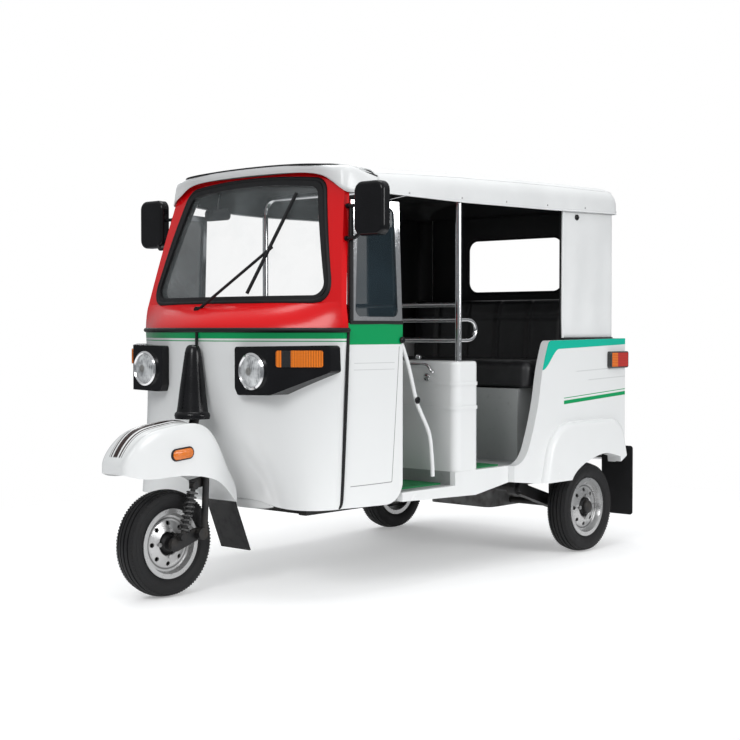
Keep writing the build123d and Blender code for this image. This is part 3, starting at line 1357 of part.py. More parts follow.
# Mirrors on two arms from the windscreen pillar
MIRROR_X = 633
MIRROR_Z = 1478
MIRROR_STATION = 462
MIRROR_WIDE = 150
MIRROR_TALL = 206
MIRROR_DEEP = 40
MIRROR_ARM = 7
PILLAR_PADS = ((525.8, 458, 1368), (504.7, 486, 1494))
for name, side in (("left", 1), ("right", -1)):
    with BuildPart() as mirror_piece:
        with BuildSketch(Plane.XZ.offset(-at(MIRROR_STATION))):
            with Locations((side * MIRROR_X, MIRROR_Z)):
                RectangleRounded(MIRROR_WIDE, MIRROR_TALL, 38)
        extrude(amount=-MIRROR_DEEP)
        fillet(mirror_piece.faces().sort_by(Axis.Y)[0].edges(), 14)
        for pad_x, pad_station, pad_z in PILLAR_PADS:
            with BuildSketch(Plane.YZ.offset(side * pad_x)):
                with Locations((at(pad_station), pad_z)):
                    Circle(MIRROR_ARM + 3)
            extrude(amount=side * 8)
            with BuildLine() as arm:
                FilletPolyline(
                    (side * (pad_x + 4), at(pad_station), pad_z),
                    (side * (MIRROR_X - MIRROR_WIDE / 2 + 10), at(pad_station), pad_z),
                    (side * (MIRROR_X - 20), at(MIRROR_STATION + MIRROR_DEEP / 2), pad_z + 40),
                    radius=16,
                )
            with BuildSketch(Plane(origin=arm.line @ 0, z_dir=arm.line % 0)):
                Circle(MIRROR_ARM)
            sweep(path=arm.line)
    save(mirror_piece, f"mirror_{name}")

# Wiper: pivot on the hood, arm and blade in front of the glass
WIPER_PIVOT = (-98, 262, 1100)
WIPER_JOINT = (197, 380, 1340)
BLADE_FOOT = (126, 318, 1162)
BLADE_HEAD = (273, 448, 1556)


def bar_plane(start, end):
    """Plane at the start of a straight bar, looking along it, and the bar's length."""
    first = Vector(start[0], at(start[1]), start[2])
    last = Vector(end[0], at(end[1]), end[2])
    return Plane(origin=first, z_dir=last - first), (last - first).length


with BuildPart() as wiper:
    with BuildSketch(Plane.XZ.offset(-at(WIPER_PIVOT[1] - 12))):
        with Locations((WIPER_PIVOT[0], WIPER_PIVOT[2])):
            Circle(13)
    extrude(amount=-60)
    arm_plane, arm_length = bar_plane(WIPER_PIVOT, WIPER_JOINT)
    with BuildSketch(arm_plane):
        Circle(6)
    extrude(amount=arm_length + 8)
    blade_plane, blade_length = bar_plane(BLADE_FOOT, BLADE_HEAD)
    with BuildSketch(blade_plane):
        Circle(7)
    extrude(amount=blade_length)
    loft(sections=hood_bands(300, -SEAT_GAP), mode=Mode.SUBTRACT)
    loft(sections=screen_bands(300, -SEAT_GAP), mode=Mode.SUBTRACT)
save(wiper, "wiper")

# Dash shelf behind the foot of the windscreen, with the instrument hump
DASH_Z = 1092
DASH_THICK = 26
DASH_DEEP = 105
DASH_HALF = 520
HUMP_RADIUS = 62
with BuildPart() as dash_shelf:
    extrude(plan_band(DASH_Z, SCREEN_CURVES[0][1], DASH_DEEP + 90, WALL + SEAL_PROUD - 90), amount=DASH_THICK)
    loft(sections=hood_bands(200, WALL + SEAT_GAP - 200), mode=Mode.SUBTRACT)
    with Locations((0, at(400), DASH_Z)):
        Box(2 * DASH_HALF, 600, 400, mode=Mode.INTERSECT)
    with BuildSketch(Plane.XZ.offset(-at(384))):
        with Locations((0, DASH_Z + DASH_THICK - 26)):
            Circle(HUMP_RADIUS)
        with Locations((0, DASH_Z - 200)):
            Rectangle(400, 400, mode=Mode.SUBTRACT)
    extrude(amount=-70)
save(dash_shelf, "dash_shelf")
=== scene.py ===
"""Passenger three-wheel auto rickshaw: finishes, soft pieces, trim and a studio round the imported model.

Metres, +Z up, the vehicle faces -Y and its left side is +X. Stations are measured back from the front axle.
"""
import json
import math

import bmesh
import bpy
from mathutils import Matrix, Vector


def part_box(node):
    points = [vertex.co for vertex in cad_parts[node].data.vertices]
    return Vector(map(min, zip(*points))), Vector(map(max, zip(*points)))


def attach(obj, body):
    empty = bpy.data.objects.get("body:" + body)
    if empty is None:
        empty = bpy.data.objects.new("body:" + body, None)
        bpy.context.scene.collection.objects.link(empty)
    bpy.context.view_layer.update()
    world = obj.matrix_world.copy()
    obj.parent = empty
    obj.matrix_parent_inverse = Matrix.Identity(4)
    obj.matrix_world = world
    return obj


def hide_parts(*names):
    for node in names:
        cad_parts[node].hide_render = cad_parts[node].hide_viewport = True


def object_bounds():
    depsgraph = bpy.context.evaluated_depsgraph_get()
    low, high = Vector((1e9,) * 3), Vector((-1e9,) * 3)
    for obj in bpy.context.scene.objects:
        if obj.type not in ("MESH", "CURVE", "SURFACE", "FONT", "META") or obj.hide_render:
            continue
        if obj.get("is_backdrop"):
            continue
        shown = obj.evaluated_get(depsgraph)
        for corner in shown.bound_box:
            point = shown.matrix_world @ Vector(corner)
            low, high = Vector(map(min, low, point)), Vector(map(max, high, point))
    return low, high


bl_info = {
    "name": "Three-wheel auto rickshaw",
    "version": (1, 0, 0),
    "blender": (4, 5, 0),
    "location": "3D View > Sidebar > Rickshaw",
    "description": "Dresses the packed rickshaw with paint, canvas, cushions, trim and a studio",
    "category": "Object",
}

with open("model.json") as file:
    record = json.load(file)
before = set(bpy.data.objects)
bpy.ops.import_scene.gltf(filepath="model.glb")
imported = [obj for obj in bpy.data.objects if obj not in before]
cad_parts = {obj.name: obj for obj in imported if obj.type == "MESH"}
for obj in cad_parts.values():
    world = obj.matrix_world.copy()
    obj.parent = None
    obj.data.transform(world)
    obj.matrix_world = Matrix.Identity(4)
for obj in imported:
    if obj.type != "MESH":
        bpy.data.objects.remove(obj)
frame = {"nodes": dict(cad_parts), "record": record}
NODES = frame["nodes"]
CAD_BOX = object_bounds()
FRONT_AXLE_Y = -1.075
WHEEL_RADIUS = 0.205
REAR_WHEEL_X = 0.575
REAR_AXLE_STATION = 2000


def at(station):
    """Y in metres of a station given in millimetres behind the front axle."""
    return FRONT_AXLE_Y + station / 1000


def tone(name, description, value):
    """A colour property."""
    return bpy.props.FloatVectorProperty(
        name=name, description=description, default=value, subtype="COLOR", size=3, min=0, max=1
    )


def length(name, description, value):
    """A length property in metres."""
    return bpy.props.FloatProperty(
        name=name, description=description, default=value, unit="LENGTH", subtype="DISTANCE", min=0
    )


def count(name, description, value):
    """A property that counts pieces."""
    return bpy.props.IntProperty(name=name, description=description, default=value, min=1)


class RickshawColours(bpy.types.PropertyGroup):
    """Colours of paint, cloth and lenses."""

    body_white: tone("Body white", "Paint of the nose, cowl, quarters and tail", (0.8, 0.81, 0.81))
    hood_red: tone("Hood red", "Paint of the windscreen surround", (0.74, 0.001, 0.004))
    stripe_green: tone("Stripe green", "Stripes on the nose, cowl and quarters", (0.0, 0.31, 0.095))
    band_teal: tone("Band teal", "Band along the top of the rear quarters", (0.0, 0.47, 0.33))
    canvas_white: tone("Canvas white", "Outer face of the canopy and curtains", (0.82, 0.83, 0.83))
    lining_black: tone("Lining black", "Inner face of the canopy and curtains", (0.006, 0.006, 0.007))
    seat_black: tone("Seat black", "Vinyl of the seats", (0.009, 0.009, 0.01))
    mat_green: tone("Mat green", "Rubber floor mats", (0.006, 0.2, 0.06))
    panel_grey: tone("Panel grey", "Floor, seat boxes and sills inside", (0.36, 0.37, 0.37))
    lens_amber: tone("Lens amber", "Indicators and fender markers", (0.85, 0.2, 0.006))
    lens_red: tone("Lens red", "Rear half of the tail lamps", (0.52, 0.02, 0.012))
    rubber_black: tone("Rubber black", "Seals, beads, flaps and tyres", (0.008, 0.008, 0.009))


class RickshawSizes(bpy.types.PropertyGroup):
    """Sizes of the soft pieces and the trim."""

    cloth_thick: length("Canvas thickness", "Thickness of the canopy and curtains", 0.003)
    cloth_sag: length("Canopy sag", "How far the canopy dips between its bows", 0.006)
    curtain_wave: length("Curtain wave", "Height of the ripples in the curtains", 0.0022)
    piping: length("Piping radius", "Radius of the piping on canvas edges", 0.0035)
    belt_bead: length("Belt bead radius", "Radius of the rubber bead under the hood", 0.0095)
    swell: length("Cushion swell", "How far a cushion may swell from its core", 0.014)
    voxel: length("Cushion grain", "Size of the cells that a cushion is made of", 0.011)
    stud: length("Stud radius", "Radius of the canopy studs", 0.0045)
    studs: count("Studs", "Studs along each side of the canopy", 6)
    ribs: count("Cone ribs", "Ribs on the front of the column cone", 16)
    coils: count("Spring coils", "Turns of the front spring", 8)
    nuts: count("Wheel nuts", "Nuts on each wheel", 4)
    lugs: count("Tread lugs", "Fine lugs round each tyre shoulder", 96)


class Shade:
    """One socket of a material's tree. Arithmetic on it adds Math nodes; other nodes come from node."""

    def __init__(self, tree, socket=None):
        self.tree = tree
        self.socket = socket

    def node(self, kind, settings=None, sockets=None, out=0):
        """Add one node: its settings first, then values or links of its sockets. Gives one output."""
        made = self.tree.nodes.new(kind)
        for key, value in (settings or {}).items():
            setattr(made, key, value)
        for key, value in (sockets or {}).items():
            if isinstance(value, Shade):
                self.tree.links.new(value.socket, made.inputs[key])
            else:
                made.inputs[key].default_value = value
        return Shade(self.tree, made.outputs[out])

    def output(self, name):
        """Another output of the same node."""
        return Shade(self.tree, self.socket.node.outputs[name])

    def maths(self, operation, *values):
        """A Math node on values."""
        return self.node("ShaderNodeMath", {"operation": operation}, dict(enumerate(values)))

    def __add__(self, other):
        return self.maths("ADD", self, other)

    __radd__ = __add__

    def __sub__(self, other):
        return self.maths("SUBTRACT", self, other)

    def __rsub__(self, other):
        return self.maths("SUBTRACT", other, self)

    def __mul__(self, other):
        return self.maths("MULTIPLY", self, other)

    __rmul__ = __mul__

    def __abs__(self):
        return self.maths("ABSOLUTE", self)

    def rise(self, low, high):
        """0 below low, 1 above high, smooth between."""
        sockets = {0: self, 1: low, 2: high}
        return self.node("ShaderNodeMapRange", {"interpolation_type": "SMOOTHSTEP"}, sockets)

    def band(self, low, high, soft=0.0006):
        """1 between two values, with soft edges."""
        return self.rise(low - soft, low + soft) * (1 - self.rise(high - soft, high + soft))

    def bands(self, spans):
        """1 inside any of several spans that lie apart."""
        first, *others = (self.band(low, high) for low, high in spans)
        return sum(others, first)

    def wave(self, per_metre):
        """Sine of the value with a number of waves to the metre, from -1 to 1."""
        return self.maths("SINE", self * (2 * math.pi * per_metre))

    def hypot(self, other):
        """Distance that these two offsets make at right angles."""
        return self.maths("SQRT", self * self + other * other)

    def mix(self, first, second):
        """Colour mixed from two by this mask."""
        sockets = {0: self}
        for place, colour in ((6, first), (7, second)):
            sockets[place] = colour if isinstance(colour, Shade) else (*colour, 1)
        return self.node("ShaderNodeMix", {"data_type": "RGBA"}, sockets, 2)


class Finish:
    """A procedural material: one Principled shader and the object coordinates that its patterns read."""

    def __init__(self, name, **fixed):
        self.material = bpy.data.materials.new(name)
        self.material.use_nodes = True
        tree = self.material.node_tree
        self.shader = next(node for node in tree.nodes if node.type == "BSDF_PRINCIPLED")
        for key, value in fixed.items():
            self.shader.inputs[key.replace("_", " ")].default_value = value
        self.root = Shade(tree)
        self.point = self.root.node("ShaderNodeTexCoord", out="Object")
        axes = self.root.node("ShaderNodeSeparateXYZ", sockets={0: self.point})
        self.x, self.y, self.z = axes, axes.output("Y"), axes.output("Z")

    def feed(self, socket, value):
        """Link a varying value or colour to a socket of the shader."""
        self.root.tree.links.new(value.socket, self.shader.inputs[socket])
        return self

    def skin(self, base, rough):
        """Link a varying colour and a varying roughness."""
        return self.feed("Base Color", base).feed("Roughness", rough)

    def above(self, height, station, slope):
        """Height over a line that passes a station at some height and climbs towards the rear."""
        return self.z - height - (self.y - at(station)) * slope

    def noise(self, scale, detail=3.0, rough=0.55):
        """Cloudy value from 0 to 1 at a scale in cells to the metre."""
        sockets = {"Vector": self.point, "Scale": scale, "Detail": detail, "Roughness": rough}
        return self.root.node("ShaderNodeTexNoise", sockets=sockets)

    def cells(self, scale):
        """Distance to the nearest cell centre, for grain."""
        return self.root.node("ShaderNodeTexVoronoi", sockets={"Vector": self.point, "Scale": scale})

    def bump(self, height, strength, distance):
        """Raise the surface by a height pattern."""
        sockets = {"Strength": strength, "Distance": distance, "Height": height}
        return self.feed("Normal", self.root.node("ShaderNodeBump", sockets=sockets))


def shaded(colour, factor):
    """A darker or lighter version of a colour."""
    return tuple(min(1.0, part * factor) for part in colour)


FINISHES = {}
NOSE_STRIPES = ((0.9865, 1.0125), (0.975, 0.979))
COWL_FRONT = 452
COWL_REAR = 657
COWL_FOLD_END = 668
COWL_FOLDS = ((0.8665, 0.869), (0.892, 0.8945))
COWL_BLOCK = (0.964, 1.06)
QUARTER_SIDE = (0.6185, 0.6195)
QUARTER_FOLDS = ((0.831, 1888), (0.79, 1988))
QUARTER_FOLD_HALF = 0.002
TEAL_SLOPE = 0.03
TEAL_TAIL = 0.088
STRIPE_START = (1799, 1801)
STRIPE_SPANS = ((-0.0085, 0.0085), (0.0175, 0.021))
PINSTRIPES = ((-0.001, 0.011), (0.019, 0.0255), (0.0315, 0.034))
FENDER_CREST = (0.545, 0.552)
# Half width of the painted shade lines in the cowl's pressed grooves
PRESSED_GROOVE_HALF = 0.0014
# Painted shade in the pressed grooves of the cowl
PAINTED_GROOVE_SHADE = (0.2, 0.2, 0.2)
# Painted shade along the pressed folds of the cowl
COWL_FOLD_SHADE = (0.58, 0.59, 0.59)
# Painted shade along the pressed folds of the rear quarters
QUARTER_FOLD_SHADE = (0.52, 0.53, 0.53)
DUST_BROWN = (0.36, 0.34, 0.31)
GRIME_BROWN = (0.056, 0.048, 0.04)
PINSTRIPE = (0.03, 0.016, 0.014)
LAMP_X = 0.312
LAMP_Z = 0.864
LENS_EDGE = (0.012, 0.012, 0.012)
LENS_DIVIDER = (0.012, 0.012, 0.013)


def gloss_paint(name, colour, colours, stripes=None, dusty=True):
    """Gloss paint with faint cloudiness and a thin clear coat, with road dust low down where asked."""
    finish = Finish(name, Coat_Weight=0.12, Coat_Roughness=0.08, Specular_IOR_Level=0.35)
    cloud = finish.noise(1.6)
    base = cloud.rise(0.2, 0.8).mix(shaded(colour, 0.985), colour)
    for mask, tint in stripes(finish, colours) if stripes else ():
        base = mask.mix(base, tint)
    rough = 0.22 + cloud * 0.03
    if dusty:
        dust = (1 - finish.z.rise(0.22, 0.66)) * finish.noise(9.0, 3.0).rise(0.3, 0.9) * 0.07
        base = dust.mix(base, DUST_BROWN)
        rough = rough + dust
    finish.skin(base, rough)
    return finish.bump(finish.noise(300.0, 2.0), 0.02, 0.0004).material


def nose_stripes(finish, colours):
    """Green belt stripe on the nose with a thin line under it."""
    return [(finish.z.bands(NOSE_STRIPES), colours.stripe_green)]


def cowl_stripes(finish, colours):
    """Green block along the top of the cowl sides, over painted shade along the grooves and folds of its
    pressed panel.
    """
    front = at(COWL_FRONT)
    rear = at(COWL_REAR)
    # Painted shade: dark lines along the two pressed grooves of the panel
    foot = finish.above(0.4228, 458, 0.024).band(-PRESSED_GROOVE_HALF, PRESSED_GROOVE_HALF)
    edge = (finish.y - rear - (finish.z - 0.4276) * 0.072).band(-PRESSED_GROOVE_HALF, PRESSED_GROOVE_HALF)
    groove_shade = foot * finish.y.band(front, rear) + edge * finish.z.band(0.428, 0.955)
    # Painted shade: grey lines along the two pressed folds near the top
    fold_shade = finish.z.bands(COWL_FOLDS) * finish.y.band(front, at(COWL_FOLD_END))
    block = finish.z.band(*COWL_BLOCK)
    return [(groove_shade, PAINTED_GROOVE_SHADE), (fold_shade, COWL_FOLD_SHADE), (block, colours.stripe_green)]


def quarter_stripes(finish, colours):
    """Painted shade along two pressed folds, a teal band with a tail at the entry edge, a green stripe and
    a thin line.
    """
    side = abs(finish.x).rise(*QUARTER_SIDE)
    half = QUARTER_FOLD_HALF
    # Painted shade: grey lines along the two pressed folds of the side
    fold_shade = []
    for height, station in QUARTER_FOLDS:
        line = finish.above(height, station, TEAL_SLOPE).band(-half, half, half)
        fold_shade.append(line * finish.y.rise(at(station - 3), at(station + 27)))
    tail = (1 - finish.y.rise(at(1634), at(1762))) * TEAL_TAIL
    teal = (finish.above(0.9365, 1832, TEAL_SLOPE) + tail).rise(-0.0008, 0.0008)
    start = finish.y.rise(*(at(station) for station in STRIPE_START))
    green = finish.above(0.694, 1802, 0.052).bands(STRIPE_SPANS) * start
    return [
        ((fold_shade[0] + fold_shade[1]) * side * 0.6, QUARTER_FOLD_SHADE),
        (teal * side, colours.band_teal),
        (green * side, colours.stripe_green),
    ]


def fender_stripes(finish, colours):
    """Dark pinstripes along the crest of the front fender."""
    return [(abs(finish.x).bands(PINSTRIPES) * finish.z.rise(*FENDER_CREST), PINSTRIPE)]


def rubber(name, colour):
    """Matt rubber with a fine grain and a bloom of dust."""
    finish = Finish(name, Specular_IOR_Level=0.3)
    bloom = finish.noise(26.0, 5.0).rise(0.45, 0.8)
    finish.skin((bloom * 0.5).mix(colour, shaded(colour, 2.2)), 0.5 + bloom * 0.25)
    return finish.bump(finish.noise(260.0, 4.0), 0.25, 0.0006).material


def tyre_rubber(name, colour):
    """Tyre rubber with a bloom of dust."""
    finish = Finish(name, Specular_IOR_Level=0.3)
    dust = finish.noise(24.0, 6.0).rise(0.4, 0.8)
    finish.skin((dust * 0.5).mix(shaded(colour, 0.9), (0.026, 0.025, 0.024)), 0.62 + dust * 0.25)
    return finish.bump(finish.noise(180.0, 4.0), 0.3, 0.0008).material


def moulded_plastic(name, colour):
    """Black moulded plastic with leather-like grain and worn gloss."""
    finish = Finish(name, Specular_IOR_Level=0.28)
    worn = finish.noise(12.0, 4.0)
    finish.skin(worn.rise(0.3, 0.8).mix(colour, shaded(colour, 1.4)), 0.12 + worn * 0.16)
    return finish.bump(finish.cells(620.0), 0.03, 0.0003).material


def bright_metal(name, colour, rough, metal=1.0):
    """Plated or polished metal with fine rubbing marks."""
    finish = Finish(name, Metallic=metal)
    rub = finish.noise(90.0, 6.0, 0.7)
    base = rub.rise(0.3, 0.75).mix(shaded(colour, 0.86), colour)
    finish.skin(base, rough + rub.rise(0.45, 0.8) * 0.12)
    return finish.bump(rub, 0.04, 0.0004).material


def wheel_metal(name, colour):
    """Silver wheel paint with painted shade in the well, and dark at the hub. Every wheel is measured from
    its own axle.
    """
    finish = Finish(name)
    above = finish.z - WHEEL_RADIUS
    spans = [(finish.y - at(station)).hypot(above) for station in (0, REAR_AXLE_STATION)]
    radius = above.maths("MINIMUM", *spans)
    rub = finish.noise(24.0, 3.0)
    base = rub.rise(0.2, 0.8).mix(shaded(colour, 0.92), colour)
    # Painted shade: a dark ring in the well of the dished rim
    base = (radius.band(0.0935, 0.1, 0.0025) * 0.75).mix(base, (0.05, 0.05, 0.05))
    hub = 1 - radius.rise(0.0455, 0.0475)
    finish.skin(hub.mix(base, (0.018, 0.018, 0.019)), 0.24 + rub * 0.08 + hub * 0.2)
    finish.feed("Metallic", 0.8 - hub * 0.4)
    return finish.bump(rub, 0.02, 0.0003).material


def dark_metal(name, colour, rough=0.42):
    """Chassis paint or cast metal with road grime."""
    finish = Finish(name, Metallic=0.35)
    grime = finish.noise(18.0, 6.0).rise(0.42, 0.75)
    finish.skin((grime * 0.6).mix(colour, GRIME_BROWN), rough + grime * 0.3)
    return finish.bump(finish.noise(150.0, 5.0), 0.2, 0.0012).material


def satin_panel(name, colour):
    """Satin paint of the inside panels, scuffed where feet rub."""
    finish = Finish(name)
    scuff = finish.noise(34.0, 7.0, 0.65).rise(0.52, 0.82)
    finish.skin((scuff * 0.4).mix(colour, shaded(colour, 0.55)), 0.38 + scuff * 0.25)
    return finish.bump(finish.noise(210.0, 3.0), 0.08, 0.0005).material


def ribbed_mat(name, colour):
    """Rubber mat with ribs along the vehicle."""
    finish = Finish(name)
    dirt = finish.noise(20.0, 6.0).rise(0.5, 0.8) * 0.5
    finish.skin(dirt.mix(colour, shaded(colour, 0.4)), 0.55 + dirt * 0.3)
    return finish.bump(finish.x.wave(55.0), 0.6, 0.0025).material


def woven_canvas(name, colour, rough):
    """Coated canvas: a plain weave, faint creases and soft stains."""
    finish = Finish(name, Sheen_Weight=0.08)
    stain = finish.noise(3.2, 5.0).rise(0.3, 0.75)
    finish.skin(stain.mix(shaded(colour, 0.93), colour), rough + stain * 0.1)
    weave = finish.y.wave(420.0) * (finish.x.wave(420.0) + finish.z.wave(420.0))
    crease = finish.noise(7.0, 2.0)
    return finish.bump(weave * 0.12 + crease * 2.0, 0.14, 0.004).material


def seat_vinyl(name, colour):
    """Black vinyl with pebbled grain and polished high spots."""
    finish = Finish(name)
    wear = finish.noise(9.0, 4.0)
    finish.skin(wear.rise(0.35, 0.75).mix(colour, shaded(colour, 2.0)), 0.34 + wear * 0.2)
    return finish.bump(finish.cells(260.0) + finish.noise(30.0), 0.18, 0.0012).material


def pane(name, colour, cover):
    """Thin safety glass that covers a share of what is behind it, with faint wiped streaks."""
    finish = Finish(name, Specular_IOR_Level=0.3)
    streak = finish.noise(6.0, 4.0).rise(0.4, 0.8)
    finish.skin(streak.mix(colour, shaded(colour, 1.3)), 0.015 + streak * 0.03)
    return finish.feed("Alpha", cover + streak * 0.05).material


def lens_plastic(name, colour, divider=None):
    """Moulded lens with upright flutes, with painted shade between them so that their crests are paler."""
    finish = Finish(name, Coat_Weight=0.6, Coat_Roughness=0.05)
    flute = finish.y.wave(150.0) + finish.x.wave(150.0)
    # Painted shade in the troughs of the flutes, following the same wave as the bump
    base = flute.rise(-1.5, 1.8).mix(shaded(colour, 0.62), colour)
    if divider:
        base = abs(finish.x).band(*divider).mix(base, LENS_DIVIDER)
    finish.skin(base, 0.12 + finish.noise(40.0) * 0.12)
    return finish.bump(flute + finish.z.wave(90.0), 0.25, 0.0014).material


def tail_lens(name, colours):
    """Tail lamp: black rubber edge, amber front part and red rear part."""
    finish = Finish(name, Coat_Weight=0.6, Coat_Roughness=0.05)
    flute = finish.z.wave(130.0)
    crest = flute.rise(-1.2, 1.4)
    colour = finish.y.rise(at(2218), at(2220)).mix(colours.lens_amber, colours.lens_red)
    # Painted shade: a darker red in the troughs of the flutes, paler at their crests
    painted_flute_shade = crest.mix(shaded(colours.lens_red, 0.7), colour)
    painted_flute_shade = (crest * 0.6 + 0.4).mix(painted_flute_shade, colour)
    inner = finish.z.band(0.8475, 0.9125) * finish.y.band(at(2168), at(2308))
    finish.skin(inner.mix(LENS_EDGE, painted_flute_shade), 0.42 - inner * 0.28)
    return finish.bump(flute, 0.2, 0.0012).material


def headlamp_glass(name):
    """Headlamp seen from the front: bright rim, fluted lens with painted highlights on its flutes, and a
    painted reflection of the reflector behind it.
    """
    finish = Finish(name, Coat_Weight=0.8, Coat_Roughness=0.03)
    aside = abs(finish.x) - LAMP_X
    radius = aside.hypot(finish.z - LAMP_Z)
    rim = radius.rise(0.0565, 0.058)
    flute = aside.wave(105.0)
    mirror = finish.noise(34.0, 3.0).rise(0.3, 0.7)
    bulb = 1 - radius.rise(0.011, 0.02)
    # Painted reflection: dark and bright patches stand in for the mirror image in the reflector
    glass = mirror.mix((0.22, 0.23, 0.24), (0.8, 0.82, 0.83))
    # Painted highlights at the crests of the flutes
    glass = (flute.rise(-1.0, 1.0) * 0.35).mix(glass, (0.9, 0.91, 0.92))
    glass = (bulb * 0.7).mix(glass, (0.16, 0.15, 0.13))
    finish.skin(rim.mix(glass, (0.72, 0.72, 0.73)), 0.16 - rim * 0.06 + mirror * 0.08)
    finish.feed("Metallic", 0.35 + rim * 0.65)
    return finish.bump(flute * (1 - rim), 0.3, 0.001).material


def make_finishes(colours):
    """Every finish of the vehicle, kept by name."""
    white = colours.body_white
    FINISHES.update(
        white_paint=gloss_paint("body_white", white, colours),
        nose_paint=gloss_paint("nose_white", white, colours, nose_stripes),
        cowl_paint=gloss_paint("cowl_white", white, colours, cowl_stripes),
        quarter_paint=gloss_paint("quarter_white", white, colours, quarter_stripes),
        fender_paint=gloss_paint("fender_white", white, colours, fender_stripes, dusty=False),
        red_paint=gloss_paint("hood_red", colours.hood_red, colours, dusty=False),
        black_rubber=rubber("trim_rubber", colours.rubber_black),
        tyre=tyre_rubber("tyre_rubber", colours.rubber_black),
        black_plastic=moulded_plastic("lamp_plastic", (0.005, 0.005, 0.006)),
        cone_plastic=moulded_plastic("cone_plastic", (0.006, 0.006, 0.007)),
        chrome=bright_metal("chrome_tube", (0.72, 0.72, 0.73), 0.1),
        rim_silver=wheel_metal("wheel_silver", (0.5, 0.5, 0.5)),
        steel=bright_metal("zinc_steel", (0.5, 0.5, 0.5), 0.28, 0.9),
        spring_steel=bright_metal("spring_steel", (0.1, 0.1, 0.1), 0.3, 0.7),
        mirror=bright_metal("mirror_silver", (0.8, 0.82, 0.83), 0.02),
        dark_metal=dark_metal("chassis_black", (0.014, 0.014, 0.015)),
        cast_metal=dark_metal("engine_cast", (0.16, 0.16, 0.16), 0.5),
        grey_panel=satin_panel("inside_grey", colours.panel_grey),
        green_mat=ribbed_mat("floor_mat", colours.mat_green),
        white_canvas=woven_canvas("canvas_white", colours.canvas_white, 0.42),
        lining=woven_canvas("lining_black", colours.lining_black, 0.6),
        black_vinyl=seat_vinyl("seat_vinyl", colours.seat_black),
        clear_glass=pane("windscreen_pane", (0.5, 0.55, 0.56), 0.07),
        # The quarter pane's dark colour and high cover are partly its tint and partly painted shade of the
        # dark interior behind it
        quarter_glass=pane("quarter_pane", (0.014, 0.026, 0.034), 0.72),
        amber_lens=lens_plastic("amber_lens", colours.lens_amber),
        indicator_lens=lens_plastic("indicator_lens", colours.lens_amber, (0.437, 0.463)),
        red_lens=tail_lens("tail_lens", colours),
        lamp_glass=headlamp_glass("headlamp_lens"),
    )


NODE_FINISH = {
    "nose_panel": "nose_paint",
    "cowl_side_left": "cowl_paint",
    "cowl_side_right": "cowl_paint",
    "rear_quarter_left": "quarter_paint",
    "rear_quarter_right": "quarter_paint",
    "front_fender": "fender_paint",
    "quarter_glass_left": "quarter_glass",
    "quarter_glass_right": "quarter_glass",
    "front_indicators": "indicator_lens",
}


class RICKSHAW_OT_finishes(bpy.types.Operator):
    """Give every CAD node its paint, plating, rubber, glass or lens"""

    bl_idname = "rickshaw.finishes"
    bl_label = "Finish the body"

    def execute(self, context):
        make_finishes(context.scene.rickshaw_colours)
        for part in frame["record"]["subparts"]:
            name = part["node"]
            material = FINISHES[NODE_FINISH.get(name, part["material_slot"])]
            mesh = NODES[name].data
            mesh.materials.clear()
            mesh.materials.append(material)
        return {"FINISHED"}


MERGE_DISTANCE = 1e-6
TUBE_ROUNDING = 3
KNOB_SIDES = 20
TURNED_SIDES = 24
HUB_SIDES = 32
DRUM_SIDES = 48
RING_SIDES = 96
STUD_SCALE = (1.0, 1.0, 0.55)


def linked(name, data):
    """An object of some data, linked to the scene."""
    thing = bpy.data.objects.new(name, data)
    bpy.context.scene.collection.objects.link(thing)
    return thing


def piece(name, mesh, material, body="body", slot=None, smooth=True):
    """Put a mesh in the scene as a piece that rides on a CAD body. Without a material it keeps its own."""
    thing = linked(name, mesh)
    if material:
        mesh.materials.clear()
        mesh.materials.append(FINISHES[material])
    if smooth:
        mesh.polygons.foreach_set("use_smooth", [True] * len(mesh.polygons))
    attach(thing, body)
    slot or material
    return thing


def joined(name, meshes):
    """One mesh from several."""
    grid = bmesh.new()
    for mesh in meshes:
        grid.from_mesh(mesh)
        bpy.data.meshes.remove(mesh)
    mesh = bpy.data.meshes.new(name)
    grid.to_mesh(mesh)
    grid.free()
    return mesh


def group(name, meshes, material, body="body", slot=None, smooth=True):
    """Put several meshes in the scene as one piece."""
    return piece(name, joined(name, meshes), material, body, slot, smooth)


def creased(thing, degrees):
    """Shade a piece smooth up to an angle between its faces."""
    thing.data.shade_smooth()
    thing.data.set_sharp_from_angle(angle=math.radians(degrees))


def grid_faces(rows, columns, closed=False):
    """Quads of a grid of points, row after row."""
    faces = []
    for row in range(rows - 1):
        for column in range(columns if closed else columns - 1):
            after = (column + 1) % columns
            first = row * columns
            second = first + columns
            faces.append((first + column, first + after, second + after, second + column))
    return faces


def open_mesh(rows, closed=False):
    """Mesh of an open surface from rows of points."""
    mesh = bpy.data.meshes.new("surface")
    points = [point for row in rows for point in row]
    mesh.from_pydata(points, [], grid_faces(len(rows), len(rows[0]), closed))
    return mesh


def solid_mesh(points, faces):
    """Mesh of a closed shape, with its doubles merged and its faces turned outwards."""
    mesh = bpy.data.meshes.new("solid")
    mesh.from_pydata(points, [], faces)
    grid = bmesh.new()
    grid.from_mesh(mesh)
    bmesh.ops.remove_doubles(grid, verts=grid.verts, dist=MERGE_DISTANCE)
    bmesh.ops.recalc_face_normals(grid, faces=grid.faces)
    grid.to_mesh(mesh)
    grid.free()
    return mesh


def settled(thing):
    """The plain mesh of an object with its modifiers or bevel applied."""
    context = bpy.context
    context.view_layer.update()
    mesh = bpy.data.meshes.new_from_object(thing.evaluated_get(context.evaluated_depsgraph_get()))
    data = thing.data
    bpy.data.objects.remove(thing)
    if isinstance(data, bpy.types.Curve):
        bpy.data.curves.remove(data)
    else:
        bpy.data.meshes.remove(data)
    return mesh


